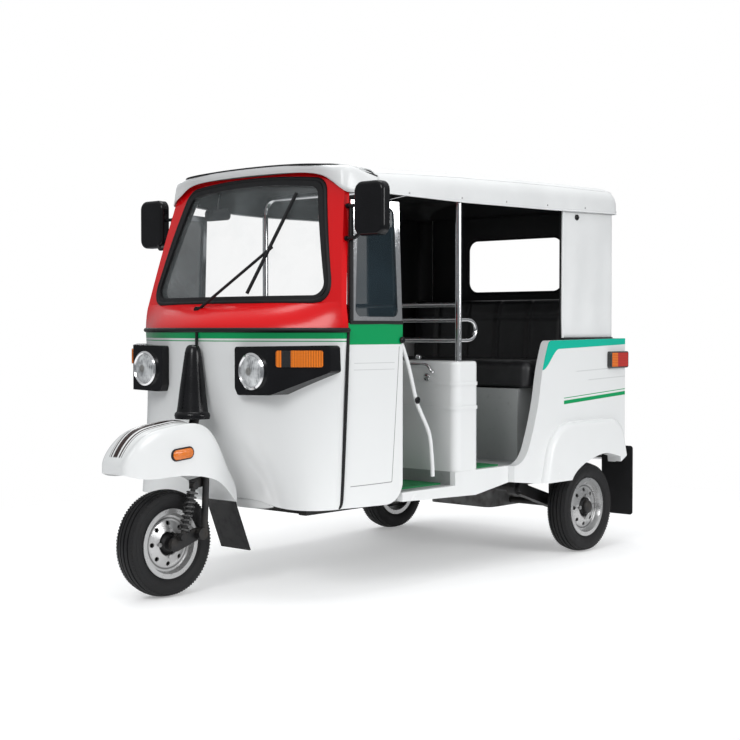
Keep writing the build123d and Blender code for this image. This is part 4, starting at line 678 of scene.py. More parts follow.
def walled(mesh, thick):
    """An open surface given a wall behind its faces; the wall takes the mesh's second material."""
    thing = linked("surface", mesh)
    wall = thing.modifiers.new("wall", "SOLIDIFY")
    wall.thickness = thick
    wall.offset = -1.0
    wall.material_offset = 1
    return settled(thing)


def tube_mesh(points, radius, closed=False):
    """Round tube along points, with filled ends."""
    curve = bpy.data.curves.new("tube", "CURVE")
    curve.dimensions = "3D"
    curve.bevel_depth = radius
    curve.bevel_resolution = TUBE_ROUNDING
    curve.use_fill_caps = True
    spline = curve.splines.new("POLY")
    spline.points.add(len(points) - 1)
    for place, point in zip(spline.points, points):
        place.co = (*point, 1)
    spline.use_cyclic_u = closed
    return settled(linked("tube", curve))


def capped(rings):
    """Closed mesh from rings of points, with a face over the first and the last."""
    total = len(rings[0])
    last = (len(rings) - 1) * total
    faces = grid_faces(len(rings), total, True)
    faces.append(tuple(range(total)))
    faces.append(tuple(range(last + total - 1, last - 1, -1)))
    return solid_mesh([point for ring in rings for point in ring], faces)


def turned_mesh(centre, axis, profile, sides=TURNED_SIDES):
    """Turned shape: profile pairs are a distance along the axis and a radius."""
    turn = Vector((0, 0, 1)).rotation_difference(Vector(axis)).to_matrix()
    rings = []
    for along, radius in profile:
        ring = []
        for step in range(sides):
            angle = 2 * math.pi * step / sides
            local = Vector((radius * math.cos(angle), radius * math.sin(angle), along))
            ring.append(Vector(centre) + turn @ local)
        rings.append(ring)
    return capped(rings)


def rounded_outline(wide, tall, corner, steps=8):
    """Points round a rectangle with round corners, about its middle."""
    points = []
    for turn, (across, up) in enumerate(((1, 1), (-1, 1), (-1, -1), (1, -1))):
        for step in range(steps + 1):
            angle = math.pi / 2 * (turn + step / steps)
            x = across * (wide / 2 - corner) + corner * math.cos(angle)
            points.append((x, up * (tall / 2 - corner) + corner * math.sin(angle)))
    return points


def slab_mesh(outline, place, depth, edge):
    """Plate with softened edges: an outline, a function that places (x, z, depth), its depth and edge."""
    rings = []
    for inset, level in ((edge, 0.0), (0.0, edge), (0.0, depth - edge), (edge, depth)):
        ring = []
        for x, z in outline:
            shrink = 1 - inset / math.hypot(x, z)
            ring.append(place(x * shrink, z * shrink, level))
        rings.append(ring)
    return capped(rings)


def upright(x, y, z):
    """Placing function for a plate that stands across the vehicle, its depth running back."""
    return lambda across, above, depth: Vector((x + across, y + depth, z + above))


def ring_path(centre, radius, sides=RING_SIDES):
    """Points of a circle round a wheel's axle."""
    x, y, z = centre
    turns = [2 * math.pi * step / sides for step in range(sides)]
    return [(x, y + radius * math.cos(turn), z + radius * math.sin(turn)) for turn in turns]


def loop_mesh(centre, profile, sides=RING_SIDES):
    """Ring turned about an axle along X from a closed cross line."""
    x, y, z = centre
    points = []
    for across, radius in profile:
        points += ring_path((x + across, y, z), radius, sides)
    faces = grid_faces(len(profile) + 1, sides, True)
    return solid_mesh(points, [tuple(index % len(points) for index in face) for face in faces])


class Nodes:
    """A Geometry Nodes tree under construction."""

    def __init__(self, name, inputs):
        self.tree = bpy.data.node_groups.new(name, "GeometryNodeTree")
        self.names = {}
        for label, kind, value in inputs:
            socket = self.tree.interface.new_socket(label, in_out="INPUT", socket_type=f"NodeSocket{kind}")
            if value is not None:
                socket.default_value = value
            self.names[label] = socket.identifier
        self.tree.interface.new_socket("Geometry", in_out="OUTPUT", socket_type="NodeSocketGeometry")
        self.given = self.tree.nodes.new("NodeGroupInput").outputs
        self.end = self.tree.nodes.new("NodeGroupOutput")

    def add(self, kind, settings=None, sockets=None):
        """Add one node with its settings and its values or links. Gives its first output."""
        made = self.tree.nodes.new(kind)
        for key, value in (settings or {}).items():
            setattr(made, key, value)
        for key, value in (sockets or {}).items():
            if isinstance(value, bpy.types.NodeSocket):
                self.tree.links.new(value, made.inputs[key])
            else:
                made.inputs[key].default_value = value
        return made.outputs[0]

    def vector(self, operation, sockets):
        """A Vector Math node."""
        return self.add("ShaderNodeVectorMath", {"operation": operation}, sockets)

    def shape(self, kind):
        """The shape that a tree repeats, and its scale."""
        given = self.given
        if kind == "block":
            sides = {0: given["Radius"], 1: given["Width"], 2: given["Height"]}
            size = self.add("ShaderNodeCombineXYZ", sockets=sides)
            return self.add("GeometryNodeMeshCube", sockets={"Size": size}), (1.0, 1.0, 1.0)
        if kind == "nut":
            sockets = {"Vertices": 6, "Radius": given["Radius"], "Depth": given["Height"]}
            return self.add("GeometryNodeMeshCylinder", sockets=sockets), (1.0, 1.0, 1.0)
        sockets = {"Segments": 12, "Rings": 7, "Radius": given["Radius"]}
        return self.add("GeometryNodeMeshUVSphere", sockets=sockets), STUD_SCALE


REPEAT_INPUTS = (
    ("Path", "Geometry", None),
    ("Count", "Int", 8),
    ("Radius", "Float", 0.005),
    ("Height", "Float", 0.004),
    ("Width", "Float", 0.004),
    ("Aim", "Vector", (0, 0, 1)),
    ("Centre", "Vector", (0, 0, 0)),
    ("Radial", "Float", 0.0),
)


def repeat_tree(name, kind, material, pivot="AUTO"):
    """Tree that puts one shape along a path, its Z axis along Aim, or from Centre where Radial is 1."""
    nodes = Nodes(name, REPEAT_INPUTS)
    given = nodes.given
    curve = nodes.add("GeometryNodeMeshToCurve", sockets={"Mesh": given["Path"]})
    sockets = {"Curve": curve, "Count": given["Count"]}
    points = nodes.add("GeometryNodeCurveToPoints", {"mode": "COUNT"}, sockets)
    away = nodes.vector("SUBTRACT", {0: nodes.add("GeometryNodeInputPosition"), 1: given["Centre"]})
    away = nodes.vector("SCALE", {0: away, "Scale": given["Radial"]})
    aim = nodes.vector("ADD", {0: away, 1: given["Aim"]})
    settings = {"axis": "Z", "pivot_axis": pivot}
    turn = nodes.add("FunctionNodeAlignRotationToVector", settings, {"Vector": aim})
    shape, scale = nodes.shape(kind)
    sockets = {"Points": points, "Instance": shape, "Rotation": turn, "Scale": scale}
    copies = nodes.add("GeometryNodeInstanceOnPoints", sockets=sockets)
    real = nodes.add("GeometryNodeRealizeInstances", sockets={0: copies})
    sockets = {0: real, "Material": FINISHES[material]}
    nodes.tree.links.new(nodes.add("GeometryNodeSetMaterial", sockets=sockets), nodes.end.inputs[0])
    return nodes


def repeated(nodes, path, closed, **values):
    """Plain mesh of a repeat tree run along a path of points."""
    mesh = bpy.data.meshes.new("path")
    last = len(path)
    edges = [(index, (index + 1) % last) for index in range(last if closed else last - 1)]
    mesh.from_pydata(path, edges, [])
    thing = linked("path", mesh)
    modifier = thing.modifiers.new("repeat", "NODES")
    modifier.node_group = nodes.tree
    for label, value in values.items():
        modifier[nodes.names[label]] = value
    return settled(thing)


def table_value(values, place):
    """Value at a place in a sorted table of (place, value) pairs, in straight steps between them."""
    if place <= values[0][0]:
        return values[0][1]
    for (start, low), (end, high) in zip(values, values[1:]):
        if place <= end:
            part = (place - start) / (end - start)
            return low + (high - low) * part
    return values[-1][1]


def table_row(table, place):
    """The other columns of a table at a place in its first column."""
    columns = range(1, len(table[0]))
    return [table_value([(row[0], row[column]) for row in table], place) for column in columns]


def shares(total, low=0.0, high=1.0):
    """Evenly spaced values between two, both included."""
    return [low + (high - low) * step / (total - 1) for step in range(total)]


def through(points, steps=8):
    """Smooth line of points that passes through every given point."""
    line = []
    ends = [points[0], *points, points[-1]]
    for a, b, c, d in zip(ends, ends[1:], ends[2:], ends[3:]):
        a, b, c, d = (Vector(point) for point in (a, b, c, d))
        for step in range(steps):
            t = step / steps
            bend = (2 * a - 5 * b + 4 * c - d) * t**2
            line.append(0.5 * (2 * b + (c - a) * t + bend + (3 * b - a - 3 * c + d) * t**3))
    return [*line, Vector(points[-1])]


def placed(*points):
    """Points given as (x, station, z) in millimetres, in metres in the vehicle's frame."""
    return [Vector((x / 1000, at(station), z / 1000)) for x, station, z in points]


def mirrored(points):
    """The same points on the other side."""
    return [Vector((-point.x, point.y, point.z)) for point in points]


def both_sides(points):
    """Points placed on the left, and the same on the right."""
    left = placed(*points)
    return left, mirrored(left)


def spanning(half):
    """A line from the middle outwards, with its mirror image before it."""
    return mirrored(half[:0:-1]) + half


# Cross lines of the canopy: station, half width, height of the hem and height of the ridge
CANOPY_TABLE = (
    (640.3, 0.532, 1.557, 1.690),
    (780.0, 0.568, 1.551, 1.694),
    (930.0, 0.589, 1.547, 1.698),
    (1095.0, 0.598, 1.545, 1.704),
    (1700.0, 0.606, 1.553, 1.719),
    (2232.0, 0.606, 1.567, 1.727),
    (2280.0, 0.594, 1.568, 1.719),
    (2304.0, 0.566, 1.569, 1.697),
)
SHOULDER_DROP = 0.05
SHOULDER_RADIUS = 0.074
BOW_STATIONS = (1095.0, 1480.0, 1880.0, 2232.0)
SKIRT_STEPS = 6
SHOULDER_STEPS = 10
CROWN_STEPS = 16
SHOULDER_COLUMN = SKIRT_STEPS + SHOULDER_STEPS
SEAM_COLUMN = 12
STUD_COLUMN = 2
SEAM_RADIUS = 0.0016
ROW_PITCH = 24.0
ROW_COUNT = 67
REAR_ROWS = (2240.0, 2252.0, 2264.0, 2276.0, 2288.0, 2296.0, 2301.0, 2304.0)
SMOOTHINGS = 4
BACK_DROPS = (0.1, 0.3, 0.55, 0.8, 1.0)
STUD_ROWS = slice(6, -8)
CANOPY_INSIDE = Vector((0, at(1500), 1.45))


def canopy_profile(half, edge, top):
    """Half of the canopy's cross line from its left hem to the middle, as (x, z)."""
    crown = (half**2 + SHOULDER_DROP**2) / (2 * SHOULDER_DROP)
    corner_x = half - SHOULDER_RADIUS
    corner_z = top - crown + math.sqrt((crown - SHOULDER_RADIUS) ** 2 - corner_x**2)
    lean = math.atan2(corner_z - (top - crown), corner_x)
    line = [(half, edge + (corner_z - edge) * step / SKIRT_STEPS) for step in range(SKIRT_STEPS)]
    for step in range(SHOULDER_STEPS + 1):
        angle = lean * step / SHOULDER_STEPS
        x = corner_x + SHOULDER_RADIUS * math.cos(angle)
        line.append((x, corner_z + SHOULDER_RADIUS * math.sin(angle)))
    shoulder = line[-1][0]
    for step in range(1, CROWN_STEPS + 1):
        x = shoulder * (1 - step / CROWN_STEPS)
        line.append((x, top - crown + math.sqrt(crown**2 - x**2)))
    return line


def canopy_rows(sag):
    """Grid rows of the canopy from its front hem over the top and down the back."""
    stations = [CANOPY_TABLE[0][0] + ROW_PITCH * step for step in range(ROW_COUNT)]
    rows = []
    for station in (*stations, *REAR_ROWS):
        half, edge, top = table_row(CANOPY_TABLE, station)
        dip = 0.0
        for start, end in zip(BOW_STATIONS, BOW_STATIONS[1:]):
            if start < station < end:
                dip = sag * math.sin(math.pi * (station - start) / (end - start)) ** 2
        left = [(x, z - dip * (1 - abs(x) / half)) for x, z in canopy_profile(half, edge, top)]
        line = left + [(-x, z) for x, z in reversed(left[:-1])]
        rows.append([Vector((x, at(station), z)) for x, z in line])
    for _ in range(SMOOTHINGS):
        trios = zip(rows, rows[1:], rows[2:])
        middle = [[(a + 2 * b + c) / 4 for a, b, c in zip(*trio)] for trio in trios]
        rows = [rows[0], *middle, rows[-1]]
    last = rows[-1]
    hem = CANOPY_TABLE[-1][2]
    for part in BACK_DROPS:
        rows.append([Vector((p.x, p.y, p.z + (min(hem, p.z) - p.z) * part)) for p in last])
    return rows


def cloth_mesh(rows, thick, outward, closed=False):
    """Sheet from rows of points, canvas outside and lining inside. Gives the mesh and its flat area."""
    mesh = open_mesh(rows, closed)
    grid = bmesh.new()
    grid.from_mesh(mesh)
    grid.normal_update()
    facing = 0.0
    for face in grid.faces:
        facing += face.normal.dot(outward(face.calc_center_median())) * face.calc_area()
    if facing < 0:
        bmesh.ops.reverse_faces(grid, faces=grid.faces)
    area = sum(face.calc_area() for face in grid.faces)
    grid.to_mesh(mesh)
    grid.free()
    mesh.materials.append(FINISHES["white_canvas"])
    mesh.materials.append(FINISHES["lining"])
    return walled(mesh, thick), area


def run_length(points):
    """Length of a line of points."""
    return sum((after - before).length for before, after in zip(points, points[1:]))


class RICKSHAW_OT_canopy(bpy.types.Operator):
    """Stretch the canvas canopy over its bows, with piped hems and studs"""

    bl_idname = "rickshaw.canopy"
    bl_label = "Stretch the canopy"

    def execute(self, context):
        sizes = context.scene.rickshaw_sizes
        rows = canopy_rows(sizes.cloth_sag)
        mesh, area = cloth_mesh(rows, sizes.cloth_thick, lambda spot: spot - CANOPY_INSIDE)
        canopy = piece("canopy_sheet", mesh, None, slot="white_canvas")
        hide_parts("canopy")
        sides = rows[: -len(BACK_DROPS)]
        front = [point + Vector((0, 0, 0.001)) for point in rows[0]]
        hems = (front, [row[0] for row in sides], [row[-1] for row in sides], rows[-1])
        meshes = [tube_mesh(line, sizes.piping) for line in hems]
        for column in (SEAM_COLUMN, -1 - SEAM_COLUMN):
            meshes.append(tube_mesh([row[column] for row in sides[:-1]], SEAM_RADIUS))
        hem = group("canopy_piping", meshes, "white_canvas")
        studs = repeat_tree("canopy_studs", "stud", "steel")
        meshes = []
        for side, column in ((1.0, STUD_COLUMN), (-1.0, -1 - STUD_COLUMN)):
            path = [row[column] for row in rows[STUD_ROWS]]
            values = {"Count": sizes.studs, "Radius": sizes.stud, "Aim": (side, 0.0, 0.0)}
            meshes.append(repeated(studs, path, False, **values))
        stud = group("canopy_studs", meshes, "steel", slot="chrome")
        run = run_length([row[SHOULDER_COLUMN] for row in rows])
        flat = (area / run, run)
        return {"FINISHED"}


CURTAIN_X = 0.5912
CURTAIN_FOOT = 0.984
CURTAIN_HEAD = 1.593
CURTAIN_CORNER = 0.058
CURTAIN_STATIONS = (1832.0, 2226.0, 2284.0)
CURTAIN_STEPS = 26
CORNER_STEPS = 10
CURTAIN_DROPS = 30
EDGING_RADIUS = 0.0055
RAIL_RADIUS = 0.0045
POST_RADIUS = 0.006
POST_STATION = 1836
POST_INSET = 0.016
POST_HEIGHTS = (0.985, 1.2, 1.4, 1.59)
KNOB_INSET = 0.003
KNOB_STATION = 1941
KNOB_HEIGHT = 1.532
CURTAIN_MIDDLE = 1980
CURTAIN_KNOB = ((-0.006, 0.013), (0.006, 0.0135), (0.0095, 0.011), (0.011, 0.004))


def curtain_line(side):
    """Plan line of a side curtain from its front edge round the rear corner."""
    front, bend, _ = CURTAIN_STATIONS
    line = []
    for step in range(CURTAIN_STEPS + 1):
        line.append((side * CURTAIN_X, at(front + (bend - front) * step / CURTAIN_STEPS)))
    for step in range(1, CORNER_STEPS + 1):
        angle = math.pi / 2 * step / CORNER_STEPS
        x = CURTAIN_X - CURTAIN_CORNER * (1 - math.cos(angle))
        line.append((side * x, at(bend) + CURTAIN_CORNER * math.sin(angle)))
    return line


def curtain_rows(side, wave):
    """Grid rows of a side curtain with soft ripples that grow towards its foot."""
    line = curtain_line(side)
    middle = Vector((0, at(2000), 0))
    rows = []
    for step in range(CURTAIN_DROPS + 1):
        part = step / CURTAIN_DROPS
        z = CURTAIN_HEAD + (CURTAIN_FOOT - CURTAIN_HEAD) * part
        row = []
        for index, (x, y) in enumerate(line):
            ripple = math.sin(index * 0.55 + 2.2 * part) + 0.6 * math.sin(index * 0.23 - 3.0 * part + 1.0)
            inward = wave * (1.6 + ripple) * (0.35 + 0.65 * part) * min(1.0, 6 * (1 - part) + 0.15)
            away = (middle - Vector((x, y, 0))).normalized()
            row.append(Vector((x + away.x * inward, y + away.y * inward, z)))
        rows.append(row)
    return rows


WINDOW_WIDE = 0.58
WINDOW_TALL = 0.27
WINDOW_MIDDLE = 1.342
WINDOW_CORNER = 0.056
WINDOW_OUTLINE = rounded_outline(WINDOW_WIDE, WINDOW_TALL, WINDOW_CORNER, 10)
REAR_HALF = 0.5329
REAR_RINGS = 12
TINY = 1e-6


def rear_rings():
    """Rings of points on the rear curtain from its window out to its edge, as (x, z)."""
    low = CURTAIN_FOOT - WINDOW_MIDDLE
    high = CURTAIN_HEAD - WINDOW_MIDDLE
    outer = []
    for x, z in WINDOW_OUTLINE:
        upward = (high if z > 0 else low) / (z if abs(z) > TINY else TINY)
        reach = min(REAR_HALF / max(abs(x), TINY), upward)
        outer.append((x * reach, z * reach))
    for corner in ((REAR_HALF, high), (-REAR_HALF, high), (-REAR_HALF, low), (REAR_HALF, low)):
        gaps = [math.dist(point, corner) for point in outer]
        outer[gaps.index(min(gaps))] = corner
    rings = []
    for step in range(REAR_RINGS + 1):
        part = step / REAR_RINGS
        pairs = zip(WINDOW_OUTLINE, outer)
        ring = [(a + (c - a) * part, b + (d - b) * part) for (a, b), (c, d) in pairs]
        rings.append([(x, z + WINDOW_MIDDLE) for x, z in ring])
    return rings


def rear_rows(wave):
    """Rings of the rear curtain with soft ripples between its window and its edge."""
    rows = []
    for step, ring in enumerate(rear_rings()):
        hold = math.sin(math.pi * step / REAR_RINGS)
        row = []
        for x, z in ring:
            ripple = wave * hold * (1.2 + math.sin(9 * x + 4 * z) + 0.5 * math.sin(21 * x - 3 * z))
            row.append(Vector((x, at(CURTAIN_STATIONS[2]) - ripple, z)))
        rows.append(row)
    return rows


def from_middle(spot):
    """Way out of the passenger bay at a spot on a side curtain."""
    return spot - Vector((0, at(CURTAIN_MIDDLE), spot.z))


def backward(_):
    """Way out of the passenger bay at any spot on the rear curtain."""
    return Vector((0, 1, 0))


class RICKSHAW_OT_curtains(bpy.types.Operator):
    """Hang the side and rear curtains with their edging, rails and window rim"""

    bl_idname = "rickshaw.curtains"
    bl_label = "Hang the curtains"

    def execute(self, context):
        sizes = context.scene.rickshaw_sizes
        thick = sizes.cloth_thick
        trims = []
        rails = []
        knobs = []
        for name, side in (("left", 1), ("right", -1)):
            rows = curtain_rows(side, sizes.curtain_wave)
            mesh, area = cloth_mesh(rows, thick, from_middle)
            sheet = piece(f"curtain_sheet_{name}", mesh, None, slot="white_canvas")
            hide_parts(f"curtain_{name}")
            run = run_length(rows[CURTAIN_DROPS // 2])
            area / run
            edge = [row[0] + Vector((0, -0.002, 0)) for row in rows]
            trims.append(tube_mesh(edge, EDGING_RADIUS))
            foot = [Vector((side * 0.002, 0, -0.003)) + point for point in rows[-1]]
            rails.append(tube_mesh(foot, RAIL_RADIUS))
            post = [(side * (CURTAIN_X - POST_INSET), at(POST_STATION), z) for z in POST_HEIGHTS]
            rails.append(tube_mesh(post, POST_RADIUS))
            spot = (side * (CURTAIN_X - KNOB_INSET), at(KNOB_STATION), KNOB_HEIGHT)
            knobs.append(turned_mesh(spot, (side, 0, 0), CURTAIN_KNOB))
        mesh, area = cloth_mesh(rear_rows(sizes.curtain_wave), thick, backward, True)
        rear = piece("curtain_sheet_rear", mesh, None, slot="white_canvas")
        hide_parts("curtain_rear")
        y = at(CURTAIN_STATIONS[2])
        rim = [Vector((x, y - 0.0015, z + WINDOW_MIDDLE)) for x, z in WINDOW_OUTLINE]
        rails.append(tube_mesh(rim, EDGING_RADIUS, True))
        foot = [(x / 10 * REAR_HALF, y + 0.001, CURTAIN_FOOT - 0.003) for x in range(-10, 11)]
        rails.append(tube_mesh(foot, RAIL_RADIUS))
        trim = group("curtain_edging", trims, "white_canvas")
        rail = group("curtain_rails", rails, "black_rubber")
        knob = group("curtain_knobs", knobs, "black_plastic")
        return {"FINISHED"}


CORE_INSET = 0.009
CORE_MERGE = 1e-5
SWELL_PRESSURE = 4.0
SWELL_FRAMES = 20


def cushion_core(node, voxel):
    """Even mesh of a CAD cushion, drawn in a little so that it can swell."""
    mesh = NODES[node].data.copy()
    low, high = (Vector(corner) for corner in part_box(node))
    middle = (low + high) / 2
    reach = (high - low) / 2
    grid = bmesh.new()
    grid.from_mesh(mesh)
    bmesh.ops.remove_doubles(grid, verts=grid.verts, dist=CORE_MERGE)
    for vertex in grid.verts:
        offset = vertex.co - middle
        vertex.co = middle + Vector(tuple(o * (1 - CORE_INSET / r) for o, r in zip(offset, reach)))
    grid.to_mesh(mesh)
    grid.free()
    thing = linked("core", mesh)
    cells = thing.modifiers.new("cells", "REMESH")
    cells.mode = "VOXEL"
    cells.voxel_size = voxel
    return settled(thing)


def swollen(mesh, cap):
    """The core blown up by a cloth simulation, with no point moved further than the cap."""
    rest = [vertex.co.copy() for vertex in mesh.vertices]
    scene = bpy.context.scene
    thing = linked("pad", mesh)
    cloth = thing.modifiers.new("swell", "CLOTH")
    cloth.settings.use_pressure = True
    cloth.settings.uniform_pressure_force = SWELL_PRESSURE
    cloth.settings.effector_weights.gravity = 0.0
    for step in range(1, SWELL_FRAMES + 1):
        scene.frame_set(step)
    mesh = settled(thing)
    scene.frame_set(1)
    for vertex, start in zip(mesh.vertices, rest):
        move = vertex.co - start
        if move.length > cap:
            vertex.co = start + move.normalized() * cap
    return mesh


def padded_piece(name, node, sizes, shape):
    """A cushion in place of its CAD solid: swollen, shaped by seams, kept in its place and subdivided."""
    low, high = (Vector(corner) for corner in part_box(node))
    mesh = cushion_core(node, sizes.voxel)
    mesh = swollen(mesh, sizes.swell)
    for vertex in mesh.vertices:
        spot = shape(vertex.co.copy(), low, high)
        vertex.co = Vector(tuple(min(max(c, a), b) for c, a, b in zip(spot, low, high)))
    thing = linked("pad", mesh)
    soft = thing.modifiers.new("soft", "SUBSURF")
    soft.levels = soft.render_levels = 1
    pad = piece(name, settled(thing), "black_vinyl")
    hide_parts(node)


BENCH_SEAMS = (-0.193, 0.193)
BACK_SEAMS = (-0.375, -0.1875, 0.0, 0.1875, 0.375)
DRIVER_SEAM = 0.13


def groove(distance, depth, width):
    """Depth of a sewn channel at a distance from its line."""
    return depth * math.exp(-((distance / width) ** 2))


def bench_shape(spot, low, high):
    """Sewn channels across the bench, deepest on top."""
    upper = max(0.0, (spot.z - low.z) / (high.z - low.z) - 0.4) / 0.6
    for line in BENCH_SEAMS:
        spot.z -= upper * groove(spot.x - line, 0.012, 0.012)
    spot.z -= upper * groove(spot.y - (low.y + 0.09), 0.006, 0.01)
    return spot


def back_shape(spot, low, high):
    """Upright channels and one cross seam on the face of the bench back."""
    front = 1.0 - min(1.0, max(0.0, (spot.y - low.y) / (high.y - low.y)))
    for line in BACK_SEAMS:
        spot.y += front * groove(spot.x - line, 0.01, 0.011)
    spot.y += front * groove(spot.z - (high.z - 0.11), 0.007, 0.01)
    return spot


def driver_shape(spot, low, high):
    """One seam round the sitting area of the driver's seat."""
    upper = max(0.0, (spot.z - low.z) / (high.z - low.z) - 0.5) / 0.5
    spot.z -= upper * groove(spot.y - (low.y + 0.07), 0.006, 0.009)
    spot.z -= upper * groove(abs(spot.x) - DRIVER_SEAM, 0.005, 0.009)
    return spot


class RICKSHAW_OT_cushions(bpy.types.Operator):
    """Stuff the driver's seat, the bench and its back"""

    bl_idname = "rickshaw.cushions"
    bl_label = "Stuff the seats"

    def execute(self, context):
        sizes = context.scene.rickshaw_sizes
        pads = (
            ("driver_seat_pad", "driver_seat", driver_shape),
            ("bench_pad", "bench_cushion", bench_shape),
            ("bench_back_pad", "bench_back", back_shape),
        )
        for name, node, shape in pads:
            padded_piece(name, node, sizes, shape)
        return {"FINISHED"}


WHEELS = (
    ("front", 0.0, at(0), 1, "front_wheel"),
    ("rear_left", REAR_WHEEL_X, at(REAR_AXLE_STATION), 1, "rear_left_wheel"),
    ("rear_right", -REAR_WHEEL_X, at(REAR_AXLE_STATION), -1, "rear_right_wheel"),
)
SIDEWALL = (
    (0.036, 0.1224), (0.0362, 0.134), (0.0415, 0.1415), (0.0452, 0.1462), (0.0464, 0.1462), (0.0474, 0.149),
    (0.0494, 0.1535), (0.0508, 0.158), (0.0518, 0.1635), (0.0519, 0.169), (0.0516, 0.1755),
    (0.0505, 0.1762), (0.0503, 0.1795), (0.0492, 0.1845), (0.0472, 0.1895), (0.0445, 0.1938),
    (0.0408, 0.1962),
)
GROOVES = (0.0095, 0.0275)
DRUM = ((-0.028, 0.044), (-0.028, 0.09), (-0.004, 0.096), (0.0085, 0.096), (0.0085, 0.044))
HUB_CAP = ((0.033, 0.031), (0.046, 0.03), (0.051, 0.026), (0.053, 0.018), (0.0535, 0.002))
TREAD_STEP = 0.0005
TREAD_STEPS = 74
TREAD_RADIUS = 0.2048
TREAD_HALF = 0.0408
TREAD_CROWN = 0.0086
GROOVE_HALF = 0.0026
GROOVE_DEPTH = 0.005
GROOVE_LIP = (0.0022, 0.0033)
LUG = {"Radius": 0.008, "Width": 0.0055, "Height": 0.0048, "Radial": 1.0, "Aim": (0.0, 0.0, 0.0)}
LUG_ACROSS = 0.0425
LUG_RING = 0.1935
NUT = {"Radius": 0.0085, "Height": 0.013}
NUT_ACROSS = 0.0325
NUT_RING = 0.05
TYRE_CREASE = 32


def tyre_profile():
    """Cross line of a tyre as (across, radius): sidewalls with rings and a tread with four grooves."""
    tread = []
    for step in range(-TREAD_STEPS, TREAD_STEPS + 1):
        across = step * TREAD_STEP
        radius = TREAD_RADIUS - TREAD_CROWN * (across / TREAD_HALF) ** 2
        near = min(abs(abs(across) - line) for line in GROOVES)
        if near < GROOVE_HALF:
            radius -= GROOVE_DEPTH
        if GROOVE_LIP[0] < near < GROOVE_LIP[1] or step % 12 == 0:
            tread.append((across, radius))
    left = [(-across, radius) for across, radius in SIDEWALL]
    return left + tread + list(reversed(SIDEWALL))


class RICKSHAW_OT_wheels(bpy.types.Operator):
    """Mould the tyres with grooves and shoulder lugs, and fit nuts, drums and hub caps"""

    bl_idname = "rickshaw.wheels"
    bl_label = "Shoe the wheels"

    def execute(self, context):
        sizes = context.scene.rickshaw_sizes
        lug = repeat_tree("shoulder_lugs", "block", "tyre", "X")
        nut = repeat_tree("wheel_nuts", "nut", "steel")
        for name, x, y, outward, body in WHEELS:
            centre = (x, y, WHEEL_RADIUS)
            meshes = [loop_mesh(centre, tyre_profile())]
            for side in (1, -1):
                shoulder = (x + side * LUG_ACROSS, y, WHEEL_RADIUS)
                path = ring_path(shoulder, LUG_RING)
                meshes.append(repeated(lug, path, True, Count=sizes.lugs, Centre=shoulder, **LUG))
            tyre = group(f"moulded_tyre_{name}", meshes, "tyre", body, smooth=False)
            creased(tyre, TYRE_CREASE)
            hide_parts(f"tyre_{name}")
            path = ring_path((x + outward * NUT_ACROSS, y, WHEEL_RADIUS), NUT_RING)
            mesh = repeated(nut, path, True, Count=sizes.nuts, Aim=(float(outward), 0.0, 0.0), **NUT)
            piece(f"wheel_nuts_{name}", mesh, "steel", body, "chrome", False)
            drum = [(x + outward * across, radius) for across, radius in DRUM]
            meshes = [loop_mesh((0.0, y, WHEEL_RADIUS), drum, DRUM_SIDES)]
            if name != "front":
                meshes.append(turned_mesh(centre, (outward, 0, 0), HUB_CAP, HUB_SIDES))
            group(f"wheel_drum_{name}", meshes, "dark_metal", body)
        return {"FINISHED"}


BELT = ((0, 168), (180, 192), (340, 244), (464, 310), (578, 387), (583, 408))
BELT_HEIGHT = 1019
NOSE_SEAM = (
    (534, 402, 343), (541, 412, 356), (546, 414, 400), (556, 414, 560), (569, 414, 800), (578, 414, 1014),
)
COWL_TOP = ((579, 420, 1048), (586, 520, 1048), (588, 620, 1048), (590, 712, 1048))
PILLAR_SEAM = ((575, 434, 1050), (545, 467, 1286), (520, 494, 1497))
CAP_EDGE = (
    (0, 453, 1672), (200, 453, 1669), (368, 454, 1660),
    (452, 520, 1654), (505, 600, 1632), (526, 638, 1617),
)
CENTRE_SEAM = ((0, 168, 1016), (0, 167, 960))
CENTRE_BEAD = 0.006
NOSE_BEAD = 0.0065
COWL_BEAD = 0.0075
PILLAR_BEAD = 0.0085
CAP_BEAD = 0.0042


class RICKSHAW_OT_beads(bpy.types.Operator):
    """Lay the rubber beads along the belt, the seams and the cap"""

    bl_idname = "rickshaw.beads"
    bl_label = "Lay the rubber beads"

    def execute(self, context):
        sizes = context.scene.rickshaw_sizes
        belt = placed(*((x, station + 1, BELT_HEIGHT) for x, station in BELT))
        meshes = [tube_mesh(through(spanning(belt)), sizes.belt_bead)]
        meshes.append(tube_mesh(placed(*CENTRE_SEAM), CENTRE_BEAD))
        lines = (
            (through(placed(*NOSE_SEAM)), NOSE_BEAD),
            (through(placed(*COWL_TOP)), COWL_BEAD),
            (placed(*PILLAR_SEAM), PILLAR_BEAD),
        )
        for line, radius in lines:
            meshes += [tube_mesh(points, radius) for points in (line, mirrored(line))]
        meshes.append(tube_mesh(through(spanning(placed(*CAP_EDGE))), CAP_BEAD))
        group("rubber_beads", meshes, "black_rubber")
        return {"FINISHED"}


